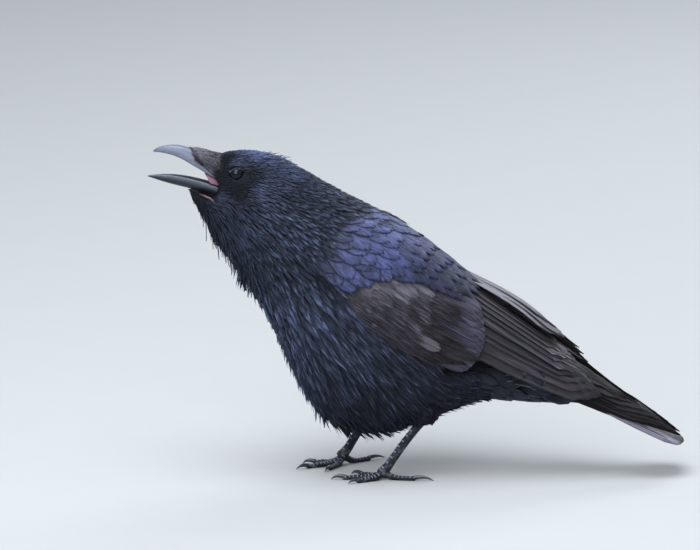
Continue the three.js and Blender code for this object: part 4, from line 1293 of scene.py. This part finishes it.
def covert_hair(side, rng):
    """The loose, hair-like webs of the small coverts, combed back along the wing."""
    vanes = Vanes(5, 3)
    for _ in range(HAIRS):
        begin = rng.uniform(0.0, 0.27)
        border = np.interp(begin, *zip(*HAIR_BORDER))
        angle = border + (HAIR_LOW - border) * rng.random()
        reach = rng.uniform(0.05, 0.11)
        light = np.interp(begin, *zip(*HAIR_LIGHT))
        pale = 1 + light * rng.uniform(0.1, 0.75) if rng.random() < 0.8 * light + 0.2 else 0.0
        line, out = place_on(
            roof, side, "coverts", (begin, angle), (begin + reach, angle + rng.uniform(-5, 4)),
            (-0.6, rng.uniform(0.3, 1.5)), samples=6,
        )
        vanes.add(
            line, out, (rng.uniform(0.25, 0.75) * MM, 1.0, 0.3, HAIR_THICK, 0.0, 0.8),
            (rng.uniform(0, 0.6) * light, rng.uniform(0.4, 1.4), 0.3 * rng.random() ** 2, pale),
        )
    for _ in range(FRINGE if side < 0 else 0):
        begin, reach = rng.uniform(0.33, 0.56), rng.uniform(0.03, 0.07)
        line, out = place_on(
            roof, side, "secondaries", (begin, rng.uniform(2, 9)),
            (begin + reach, rng.uniform(-4, 5)), (0.6, rng.uniform(1.0, 2.2)), samples=6,
        )
        vanes.add(
            line, out, (rng.uniform(0.3, 0.8) * MM, 1.0, 0.3, HAIR_THICK, 0.0, 0.8),
            (0.0, rng.uniform(0.5, 1.5), 0.0, rng.choice([0.0, 1.3])),
        )
    return vanes


# ------------------------------------------------------------------ bill, mouth and eyes
def bill_reader(stations):
    """Reads places on one half of the bill by share along it, angle round it and lift in mm.

    Its second part reads the ridge, the cutting edge and the half width at a share.
    """
    ridge = track([place for place, _, _ in stations])
    edge = track([place for _, place, _ in stations])
    width = track([[half] for _, _, half in stations])

    def read(share, angle, lift=0.0):
        top, low, half = ridge(share), edge(share), width(share)[..., 0]
        rise = top - low
        height = np.linalg.norm(rise, axis=-1)
        rise = rise / height[..., None]
        up = (height + lift) * np.cos(angle) ** 0.82
        lip = 1 + 0.05 * np.exp(-((up / height / 0.16) ** 2))
        spot = low + rise * up[..., None]
        side = (half + lift) * np.sin(angle) * lip
        return np.stack([(spot[..., 0] - ORIGIN_X) * MM, side * MM, spot[..., 1] * MM], -1)

    return read, (ridge, edge, width)


def mandible(name, stations, arc=26, inner=10, rings=44):
    """One half of the bill, hollowed inside, with the closeness to its cutting edge kept.

    arc and inner are how many points a ring has outside and in the hollow.
    """
    read, (ridge, edge, width) = bill_reader(stations)
    angles = np.linspace(-math.pi / 2, math.pi / 2, arc)
    loops = []
    for share in np.linspace(0, 1, rings) ** 0.92:
        top, low, half = ridge(share), edge(share), float(width(share)[0])
        rise = top - low
        ring = list(read(np.full(arc, share), angles))
        for across in np.linspace(0.9, -0.9, inner):
            place = low + rise * 0.42 * (1 - across**2)
            ring.append(at(place[0], half * across * 0.92, place[1]))
        loops.append(ring)
    bm = bmesh.new()
    loft(bm, loops)
    rim = bm.verts.layers.float.new("rim")
    bm.verts.ensure_lookup_table()
    chart = bm.loops.layers.uv[HORN_MAP]
    count = arc + inner
    for vert in bm.verts:
        i = round(vert.link_loops[0][chart].uv.x * count) % count
        near = min(i, abs(i - (arc - 1)), count - i)
        vert[rim] = math.exp(-((near / 2.2) ** 2)) if i < arc else 0.35
    obj = object_from(name, bm)
    crisp = obj.modifiers.new("Subdivision", "SUBSURF")
    crisp.levels = crisp.render_levels = 1
    return obj


def eye_centre(side):
    return Vector(at(EYE_CENTRE[0], side * EYE_CENTRE[1], EYE_CENTRE[2]))


def eye_piece(name, side):
    """An eyeball with its pupil on the outward axis and the cornea's slight bulge."""
    gaze = Vector((EYE_GAZE[0], side, EYE_GAZE[1])).normalized()
    bm = bmesh.new()
    chart = bm.loops.layers.uv.new(IRIS_MAP)
    bmesh.ops.create_uvsphere(bm, u_segments=48, v_segments=32, radius=EYE_RADIUS * MM)
    bmesh.ops.rotate(bm, verts=bm.verts, matrix=gaze.to_track_quat("Z", "Y").to_matrix())
    for vert in bm.verts:
        ahead = vert.co.normalized().dot(gaze)
        vert.co *= 1 + 0.035 * max(0.0, ahead - 0.72) / 0.28
    for face in bm.faces:
        for loop in face.loops:
            ahead = loop.vert.co.normalized().dot(gaze)
            loop[chart].uv = (math.acos(max(-1, min(1, ahead))) / (math.pi / 2), ahead)
    bmesh.ops.translate(bm, verts=bm.verts, vec=eye_centre(side))
    return object_from(name, bm)


def lid_piece(name, side, stand):
    """Both lids as one shell over the eyeball, open in an almond that runs back to a point."""
    centre, ball = eye_centre(side), EYE_RADIUS * MM
    profile = [  # how far out from the opening, as a share of it, and how far off the eyeball
        (1.40, 0.10 * MM), (1.0, 0.08 * MM), (1.0, stand * 0.6), (1.04, stand * 0.9),
        (1.09, stand), (1.14, stand * 0.9), (1.22, stand * 0.6), (1.40, stand * 0.2),
    ]
    grid = []
    bm = bmesh.new()
    rim = bm.verts.layers.float.new("rim")
    for turn in np.linspace(0, 2 * math.pi, 57)[:-1]:
        wide, tall = LID_OPENING[0] * math.cos(turn), LID_OPENING[1] * math.sin(turn)
        behind = max(0.0, math.cos(turn))
        wide *= 1 + 0.14 * behind**3
        tall *= 1 - 0.25 * behind**2
        tall += 0.5 * math.sin(2 * turn) * (turn < math.pi)
        row = []
        for reach, off in profile:
            across, up = wide * reach * MM, tall * reach * MM
            flat = min(math.hypot(across, up) / ball, 0.995)
            out = Vector((across, side * ball * math.sqrt(1 - flat**2), up))
            out = out.normalized() * (ball + off)
            row.append(bm.verts.new(centre + out))
            row[-1][rim] = float(LID_RIM[0] < reach < LID_RIM[1])
        grid.append(row)
    loops = [[bm.edges.new(pair) for pair in zip(row, row[1:] + row[:1])] for row in grid]
    for first, second in zip(loops, loops[1:] + loops[:1]):
        bmesh.ops.bridge_loops(bm, edges=first + second)
    return object_from(name, bm)


def bristle_piece(face, rng):
    """Stiff bristles that run forward over the nostrils from the forehead and the lores."""
    vanes = Vanes(6, 3)
    read, (ridge, edge, _) = bill_reader(UPPER_BILL)
    beyond = BRISTLE_CLEAR * MM
    share = np.linspace(0, 1, 7)
    for _ in range(face.bristles):
        side = rng.choice([-1, 1])
        low = rng.random() ** 0.85
        front = BRISTLE_END * (1 - 0.10 * low) + rng.normal(0, 0.012)
        end = front - (front - 0.06) * rng.random() ** 1.3
        begin = max(end - rng.uniform(0.10, 0.20), rng.uniform(-0.08, 0.08))
        along = np.clip(begin + (end - begin) * share, 0, 1)
        turn = low * BRISTLE_LOW + 0.05 + rng.normal(0, 0.03)
        turn = np.clip(turn + share * rng.uniform(-0.16, 0.10), 0.0, 1.35)
        stand = rng.uniform(-0.4, 0.4) + 0.4 * np.sin(math.pi * share) * rng.random()
        stand = stand + 0.5 * share * rng.random() ** 2
        stand = stand * (1 - 0.3 * low) - 0.8 * (1 - smooth(share, 0, 0.3))
        line = read(along, turn, stand)
        out = unit(read(along, turn, stand + 1.0) - line)
        line, out = line * [1, side, 1], out * [1, side, 1]
        lift = (rng.uniform(-0.9, 0.2) - 1.5 * (1 - smooth(share, 0.05, 0.45))) * MM
        # Where the coat stands higher than the bristle, the bristle lies on the coat.
        for k, (x, z) in enumerate((ridge(along) + edge(along)) / 2):
            core = Vector(at(x, 0, z))
            away = Vector(line[k]) - core
            reach = away.length
            away.normalize()
            start = core + away * (reach + beyond)
            found, normal, _, _ = hide().tree.ray_cast(start, -away, beyond)
            if found is not None and normal.dot(away) > 0:
                line[k], out[k] = found + normal * lift[k], normal
        vanes.add(
            line, out, (rng.uniform(0.10, 0.24) * MM, 1.0, 0.0, BRISTLE_THICK, 0.0, 0.9),
            (smooth(end, 0.02, 0.26) * (1 - 0.5 * low), 0.0, 0.0, 0.0),
            unwrap(line[:1])[0],
        )
    return vanes.build("nasal_bristles", BRISTLE_SEED)


# ------------------------------------------------------------------ legs and feet
SCUTES = {"shank": 5.2, "toe": 3.1}  # from one scute to the next, in mm
SCUTE_FACES = {"shank": (-0.85, 0, 0.35), "toe": (0, 0, 1)}  # which way the scuted side looks


def toe_place(side_name, toe_name, reach, height):
    """A place over a toe's line, reach millimetres out from the foot."""
    leg = LEGS[side_name]
    heading = math.radians(TOES[toe_name]["heading"] + leg["turn"])
    dx, dy = -math.cos(heading), SIDES[side_name] * math.sin(heading)
    return at(leg["foot"][0] + dx * reach, leg["foot"][1] + dy * reach, height)


def leg_lines(side_name):
    """The middle lines of a shank and its toes, as in the solids."""
    heel, foot = (np.array(LEGS[side_name][word], float) for word in ("heel", "foot"))
    shank = [heel, (heel + foot) / 2 + [-1, 0, 0], foot]
    lines = [("shank", np.array([at(*p) for p in shank]))]
    for name, toe in TOES.items():
        reach = np.linspace(0, toe["length"], 6)
        height = 2.2 + 4.0 * (1 - smooth(reach, 0, 12))
        places = [toe_place(side_name, name, r, h) for r, h in zip(reach, height)]
        lines.append(("toe", np.array(places)))
    return lines


def scutes(places, normals):
    """Where scutes lie on the legs: their number along a leg, and how far a place faces them."""
    scute = np.zeros(len(places))
    front = np.zeros(len(places))
    nearest = np.full(len(places), np.inf)
    for side_name in SIDES:
        for kind, line in leg_lines(side_name):
            face = smooth(normals @ unit(np.array(SCUTE_FACES[kind])), 0.05, 0.45)
            run = 0.0
            for a, b in zip(line[:-1], line[1:]):
                along = b - a
                size = np.linalg.norm(along)
                share = np.clip((places - a) @ along / size**2, 0, 1)
                gap = np.linalg.norm(places - (a + share[:, None] * along), axis=1)
                better = gap < nearest
                nearest = np.where(better, gap, nearest)
                scute = np.where(better, (run + share * size) / (SCUTES[kind] * MM), scute)
                front = np.where(better, face, front)
                run += size
    return scute, front


def claw_piece(side_name, toe_name):
    """A curved claw, deepest at its root, on the place of its solid."""
    end, claw = TOES[toe_name]["length"], TOES[toe_name]["claw"]
    spine = [(end - 2.0, 2.3)]
    spine += [(end + claw * share, z) for share, z in ((0.3, 3.1), (0.66, 2.4), (0.95, 0.35))]
    share = np.linspace(0, 1, 20)
    centres = [toe_place(side_name, toe_name, r, z) for r, z in track(spine)(share)]
    bm = bmesh.new()
    tube(bm, centres, CLAW_RADIUS * MM * (1 - share**1.4 * 0.9), sides=14, wide=0.78)
    return object_from(f"claw_{side_name}_{toe_name}_horn", bm)


# ------------------------------------------------------------------ what the pieces share
GUIDE_VOXEL = 1.4  # the fineness in mm of the coat's outer surface, and how often it is smoothed
GUIDE_SMOOTHING = 7
LEG_VOXEL = 0.62
LEG_SMOOTHING = 3
THIGH_START = (38, 48)  # over which x the thighs' hanging feathering begins
THIGH_OUT = (8, 16)  # over which distance from the middle it does
EYE_ROOM = (7.6, 4.9, 1.3, 9)  # half width, half height, how far ahead and how far out
GAPE_ROOM = (-96, 225, 247, 9.2)  # ahead of which x, between which heights, and half width
STRIP_ROOM = (-119, -105.5, 0.9, 3.2, 7)  # both ends, how far below and above, how far out
STRIP_RADIUS = 0.8
STRIP_SINK = 0.0005  # in metres
NOSTRILS = (-101.5, 243)  # ahead of which x and above which z the bristles take over
# Behind which x and above which z the wings cover the coat, low down and at the shoulders, and
# behind which x and how steeply the low one of these heights falls.
UNDER_WINGS = [(60, 90), (34, 150)]
UNDER_WINGS_FALL = (115, 0.55)
# Each zone of the body's coat: the shares of the axis that it runs over, its vanes' rings and
# columns, and the wisps over them: their space apart as a share of the vanes', their length as a
# share of the vanes' and how many millimetres their tips stand off.
ZONES = [
    # name, from, to, rings, columns, wisp gap, wisp length, wisp level
    ("head", -0.1, 0.155, 4, 5, 0.0, 0.0, 0.0),
    ("neck", 0.155, 0.33, 5, 7, 0.62, 0.62, 0.5),
    ("breast", 0.33, 0.50, 6, 7, 0.56, 0.60, 0.5),
    ("belly", 0.50, 0.64, 6, 7, 0.46, 0.62, 0.8),
    ("vent", 0.64, 1.1, 6, 7, 0.0, 0.0, 0.0),
]
VENT_PALE = 0.55  # how pale the edges of the large feathers under the tail are


@cache
def wings():
    """A search tree over the solids of both wings, made once."""
    places, faces = [], []
    for name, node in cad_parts.items():
        if name.startswith("wing_"):
            start = len(places)
            places += [vert.co[:] for vert in node.data.vertices]
            faces += [[start + v for v in face.vertices] for face in node.data.polygons]
    return BVHTree.FromPolygons(places, faces)


def gape_folds(bm):
    """Folds of the cheek at the corners of the mouth, round the bill's base."""
    line = track(GAPE_FOLD)(np.linspace(0, 1, 12))
    for side in SIDES.values():
        centres = [at(x, side * GAPE_FOLD_OUT, z) for x, z in line]
        tube(bm, centres, [GAPE_FOLD_RADIUS * MM] * len(centres), sides=12)


@cache
def hide():
    """The outer surface of the coat, smoothed from the flesh nodes, made once."""
    guide = solid_copy("coat_guide", FLESH, GUIDE_VOXEL * MM, GUIDE_SMOOTHING, gape_folds)
    places, _ = read_mesh(guide.data)
    x, y, z = places.T / MM
    thigh = smooth(x + ORIGIN_X, *THIGH_START) * smooth(np.abs(y), *THIGH_OUT)
    places[:, 2] += thigh * (1 - THIGH_KEPT) * np.maximum(THIGH_END - z, 0) * MM
    set_places(guide.data, places)
    return Hide(guide)


def near_eye(places):
    """Round the eye, and a feather's length ahead of it, so that nothing covers the lids."""
    wide, tall, ahead, out = EYE_ROOM
    x = (places[:, 0] - at(EYE_CENTRE[0] - ahead, 0, 0)[0]) / (wide * MM)
    z = (places[:, 2] - EYE_CENTRE[2] * MM) / (tall * MM)
    return (x**2 + z**2 < 1) & (np.abs(places[:, 1]) > out * MM)


def bare(places):
    """Where nothing grows: the open mouth, the eyes, the bare strips and under the wings."""
    x, z = places[:, 0] / MM + ORIGIN_X, places[:, 2] / MM
    out = np.abs(places[:, 1])
    front, floor, roof_height, half = GAPE_ROOM
    gape = (x < front) & (z > floor) & (z < roof_height) & (out < half * MM)
    low = np.interp(x, *np.array(BARE_STRIP).T)
    start, end, below, above, off = STRIP_ROOM
    strip = (x > start) & (x < end) & (z > low - below) & (z < low + above) & (out > off * MM)
    nostrils = (x < NOSTRILS[0]) & (z > NOSTRILS[1])
    (rear, rear_height), (shoulder, shoulder_height) = UNDER_WINGS
    bend, slope = UNDER_WINGS_FALL
    hidden = (x > rear) & (z > rear_height - slope * np.maximum(x - bend, 0))
    hidden |= (x > shoulder) & (z > shoulder_height)
    return near_eye(places) | gape | strip | hidden | nostrils


def strip_piece(name, side):
    """The bare strip of skin under the lower bill's base, laid on the coat's outer surface."""
    share = np.linspace(0, 1, 16)
    centres = []
    for x, z in track(BARE_STRIP)(share):
        start, inward = Vector(at(x, side * 40, z)), Vector((0, -side, 0))
        hit, out, _, _ = hide().tree.ray_cast(start, inward)
        centres.append(np.array(hit - out * STRIP_SINK))
    bm = bmesh.new()
    tube(bm, centres, STRIP_RADIUS * MM * np.sin(math.pi * (0.08 + 0.84 * share)), sides=12)
    return object_from(name, bm)


def grow(name, zone, side, plumage, seed, spacing, build):
    """Grows vanes or wisps on one side of a zone."""
    skin = hide()
    rng = np.random.default_rng(seed)
    along = unwrap(skin.centres)[:, 0]
    keep = (along >= zone[0]) & (along < zone[1])
    keep &= (skin.centres[:, 1] >= 0) == (side > 0)
    keep &= ~bare(skin.centres) & (skin.values["half"] < build["widest"])
    spots, picks = skin.roots(skin.values["gap"] * MM * spacing, rng, keep)
    return dressed(name, spots, picks, skin, plumage, rng, build)


def aimed(name, data, place, way):
    """Puts a camera or a lamp at a place, looking one way."""
    obj = new_object(name, data)
    obj.location = place
    obj.rotation_mode = "QUATERNION"
    obj.rotation_quaternion = way.to_track_quat("-Z", "Y")
    return obj


# ------------------------------------------------------------------ one operator for each piece
class CROW_OT_skin(bpy.types.Operator):
    """Joins the flesh in one skin, as deep as the coat, with scutes on the legs"""

    bl_idname = "crow.skin"
    bl_label = "Skin"

    def execute(self, context):
        plumage, foot = context.scene.crow_plumage, context.scene.crow_foot
        body = hide().guide
        places, normals = read_mesh(body.data)
        depth = coat_values(places)["depth"]
        set_places(body.data, places - normals * depth[:, None] * MM)
        feet = [f"shank_{s}" for s in SIDES] + [f"toe_{s}_{t}" for s in SIDES for t in TOES]
        legs = solid_copy("leg_guide", feet, LEG_VOXEL * MM, LEG_SMOOTHING)
        places, normals = read_mesh(legs.data)
        scute, front = scutes(places, normals)
        step = (scute % 1.0) ** 1.5 * front * foot.scute_height
        places = places + normals * step[:, None]
        places[:, 2] = np.maximum(places[:, 2], 0.0)
        set_places(legs.data, places)
        bm = bmesh.new()
        bm.from_mesh(body.data)
        soft = len(bm.faces)
        bm.from_mesh(legs.data)
        mesh = bpy.data.meshes.new("skin")
        bm.to_mesh(mesh)
        bm.free()
        skin = new_object("skin", mesh)
        for old in (body, legs):
            bpy.data.objects.remove(old)
        finish(skin, skin_finish(plumage), "plumage", *FLESH, *feet)
        mesh.materials.append(scale_finish(foot))
        which = (np.arange(len(mesh.polygons)) >= soft).astype(np.int32)
        mesh.polygons.foreach_set("material_index", which)
        mesh.polygons.foreach_set("use_smooth", np.ones(len(which), bool))
        for word, values in zip(("scute", "front"), scutes(*read_mesh(mesh))):
            layer = mesh.attributes.new(word, "FLOAT", "POINT")
            layer.data.foreach_set("value", values)
        return {"FINISHED"}


class CROW_OT_contour_feathers(bpy.types.Operator):
    """Grows the feathers of the head, neck and body over the skin"""

    bl_idname = "crow.contour_feathers"
    bl_label = "Contour feathers"

    def execute(self, context):
        plumage = context.scene.crow_plumage
        hackles = feather_finish("hackles", plumage, plumage.blue, 0.42, 0.80, 0.2)
        velvet = feather_finish(
            "velvet", plumage, plumage.blue, 0.50, 0.25, 0.8, sheen=0.04, deep=0.4
        )
        for number, (name, low, high, rings, columns, gap, long, level) in enumerate(ZONES):
            pale = VENT_PALE * (name == "vent")
            builds = {"feathers": (1.0, {**VANE, "rings": rings, "columns": columns, "pale": pale})}
            if gap:
                builds["wisps"] = (gap, {**WISP, "long": long, "level": level})
            for side_name, side in SIDES.items():
                seed = plumage.seed + 10 * number + (side > 0)
                for word, (spacing, build) in builds.items():
                    piece = f"{name}_{side_name}_{word}"
                    grown = grow(piece, (low, high), side, plumage, seed, spacing, build)
                    finish(grown, velvet if name == "head" else hackles, "plumage")
        return {"FINISHED"}


class CROW_OT_wing_feathers(bpy.types.Operator):
    """Lays the feathers of both folded wings over their solids"""

    bl_idname = "crow.wing_feathers"
    bl_label = "Wing feathers"

    def execute(self, context):
        plumage = context.scene.crow_plumage
        shoulder = feather_finish("shoulder_gloss", plumage, plumage.violet_sheen, 0.42, 0.25, 0.75, 0.16)
        flight = flight_finish("flight_vanes", plumage)
        finishes = {
            "scapulars": shoulder, "primaries": flight_finish("primary_vanes", plumage, 0.1),
        }
        for side_name in SIDES:
            rng = np.random.default_rng(plumage.seed + (side_name == "right"))
            for layer, piece in wing_pieces(side_name, plumage, rng).items():
                slot = "gloss_plumage" if layer == "scapulars" else "flight_feathers"
                nodes = [f"wing_{side_name}_{layer}"] if layer != "hair" else []
                finish(piece, finishes.get(layer, flight), slot, *nodes)
        return {"FINISHED"}


class CROW_OT_tail_feathers(bpy.types.Operator):
    """Spreads the tail's feathers over its solid"""

    bl_idname = "crow.tail_feathers"
    bl_label = "Tail feathers"

    def execute(self, context):
        plumage = context.scene.crow_plumage
        piece = tail_fan(plumage, np.random.default_rng(plumage.seed + 3))
        looks = flight_finish("tail_vanes", plumage)
        finish(piece, looks, "flight_feathers", "tail_feathers")
        return {"FINISHED"}


class CROW_OT_bill(bpy.types.Operator):
    """Makes both halves of the bill, and the bristles over its base"""

    bl_idname = "crow.bill"
    bl_label = "Bill and bristles"

    def execute(self, context):
        face, plumage = context.scene.crow_face, context.scene.crow_plumage
        # The upper bill's light ground is painted sheen; the lower bill's paler cutting edge is
        # partly a painted highlight.
        halves = (
            ("bill_upper", UPPER_BILL, face.horn, 0.12, 0.65),
            ("bill_lower", LOWER_BILL, face.horn_low, 0.25, 0.35),
        )
        for name, stations, ground, edge_wear_and_highlight, shine in halves:
            horn = horn_finish(name, ground, face.horn_edge, 0.93, edge_wear_and_highlight, shine)
            finish(mandible(name + "_horn", stations), horn, "bill_horn", name)
        bristles = bristle_piece(face, np.random.default_rng(plumage.seed + 9))
        finish(bristles, bristle_finish(face), "plumage")
        return {"FINISHED"}


class CROW_OT_mouth(bpy.types.Operator):
    """Makes the lining of the open mouth and the tongue"""

    bl_idname = "crow.mouth"
    bl_label = "Mouth"

    def execute(self, context):
        face = context.scene.crow_face
        gape = mouth_finish("gape", GAPE_DARK, face.gape)
        bare_skin = mouth_finish("bare_skin", STRIP_DARK, face.strip)
        lining = solid_copy("mouth_lining_flesh", ["mouth_lining"], 0.45 * MM, 4)
        finish(lining, gape, "mouth", "mouth_lining")
        share = np.linspace(0, 1, 24)
        centres = [at(x, 0, z) for x, z in track(TONGUE)(share)]
        radii = TONGUE_RADIUS * MM * (1 - 0.7 * share**2.5)
        bm = bmesh.new()
        tube(bm, centres, radii, sides=20, wide=1.6, flat=0.6)
        finish(object_from("tongue_flesh", bm), gape, "mouth", "tongue")
        for side_name, side in SIDES.items():
            finish(strip_piece(f"bare_strip_{side_name}", side), bare_skin, "mouth")
        return {"FINISHED"}


class CROW_OT_eyes(bpy.types.Operator):
    """Makes the eyeballs and the rims of their lids"""

    bl_idname = "crow.eyes"
    bl_label = "Eyes and lids"

    def execute(self, context):
        face = context.scene.crow_face
        wet, rim = eye_finish(face), lid_finish(face)
        for side_name, side in SIDES.items():
            finish(eye_piece(f"eyeball_{side_name}", side), wet, "eye", f"eye_{side_name}")
            finish(lid_piece(f"eyelids_{side_name}", side, face.lid_width), rim, "leg_scales")
        return {"FINISHED"}


class CROW_OT_claws(bpy.types.Operator):
    """Makes the eight claws"""

    bl_idname = "crow.claws"
    bl_label = "Claws"

    def execute(self, context):
        foot = context.scene.crow_foot
        horn = horn_finish("claw_horn", foot.claw, foot.scale_highlight_and_dust, 0.9)
        for side_name in SIDES:
            for toe_name in TOES:
                solid = f"claw_{side_name}_{toe_name}"
                finish(claw_piece(side_name, toe_name), horn, "claw_horn", solid)
        return {"FINISHED"}


class CROW_OT_stage(bpy.types.Operator):
    """Sets the floor, the soft lights and the camera"""

    bl_idname = "crow.stage"
    bl_label = "Stage"

    def execute(self, context):
        scene, stage = context.scene, context.scene.crow_stage
        bm = bmesh.new()
        bmesh.ops.create_grid(bm, x_segments=1, y_segments=1, size=30)
        floor = object_from("floor", bm)
        made = Finish("floor", Specular_IOR_Level=0.2)
        speckle = made.noise(made.object_place(), 30.0, 4.0)
        made.paint(Base_Color=made.mix(speckle * 0.1, stage.floor, FLOOR_SPECKS), Roughness=0.9)
        floor.data.materials.append(made.material)

        aim = Vector(at(*CAMERA_AIM))
        tilt = math.radians(CAMERA_TILT)
        back = Vector((0, -math.cos(tilt), math.sin(tilt)))
        data = bpy.data.cameras.new("camera")
        data.sensor_width = 36
        data.lens = data.sensor_width * stage.distance / stage.framed
        data.clip_start, data.clip_end = 0.1, 100
        scene.camera = aimed("camera", data, aim + back * stage.distance, -back)

        for name, place, size, power, tint in LIGHTS:
            light = bpy.data.lights.new(name, "AREA")
            light.shape = "DISK"
            light.size = size
            light.energy = power
            light.color = tint
            aimed(name, light, place, aim - Vector(place))
        world = bpy.data.worlds.new("studio")
        world.use_nodes = True
        sky = world.node_tree.nodes["Background"].inputs
        sky["Color"].default_value, sky["Strength"].default_value = WORLD_TINT, WORLD_STRENGTH
        scene.world = world
        scene.view_settings.view_transform = "Standard"
        return {"FINISHED"}


class CROW_PT_panel(bpy.types.Panel):
    """Lists the crow's pieces and their settings"""

    bl_idname = "CROW_PT_panel"
    bl_label = "Crow"
    bl_space_type = "VIEW_3D"
    bl_region_type = "UI"
    bl_category = "Crow"

    def draw(self, context):
        for name in SETTINGS:
            box = self.layout.box()
            settings = getattr(context.scene, name)
            for field in settings.__annotations__:
                box.prop(settings, field)
        for operator in OPERATORS:
            self.layout.operator(operator.bl_idname)


SETTINGS = {
    "crow_plumage": CrowPlumageSettings,
    "crow_face": CrowFaceSettings,
    "crow_foot": CrowFootSettings,
    "crow_stage": CrowStageSettings,
}
OPERATORS = [
    CROW_OT_stage,
    CROW_OT_skin,
    CROW_OT_contour_feathers,
    CROW_OT_wing_feathers,
    CROW_OT_tail_feathers,
    CROW_OT_bill,
    CROW_OT_mouth,
    CROW_OT_eyes,
    CROW_OT_claws,
]


def register():
    for cls in (*SETTINGS.values(), *OPERATORS, CROW_PT_panel):
        bpy.utils.register_class(cls)
    for name, cls in SETTINGS.items():
        setattr(bpy.types.Scene, name, PointerProperty(type=cls))


def unregister():
    for name in SETTINGS:
        delattr(bpy.types.Scene, name)
    for cls in (CROW_PT_panel, *reversed(OPERATORS), *reversed(list(SETTINGS.values()))):
        bpy.utils.unregister_class(cls)


def main():
    register()
    for operator in OPERATORS:
        group, name = operator.bl_idname.split(".")
        getattr(getattr(bpy.ops, group), name)()


if __name__ == "__main__":
    main()
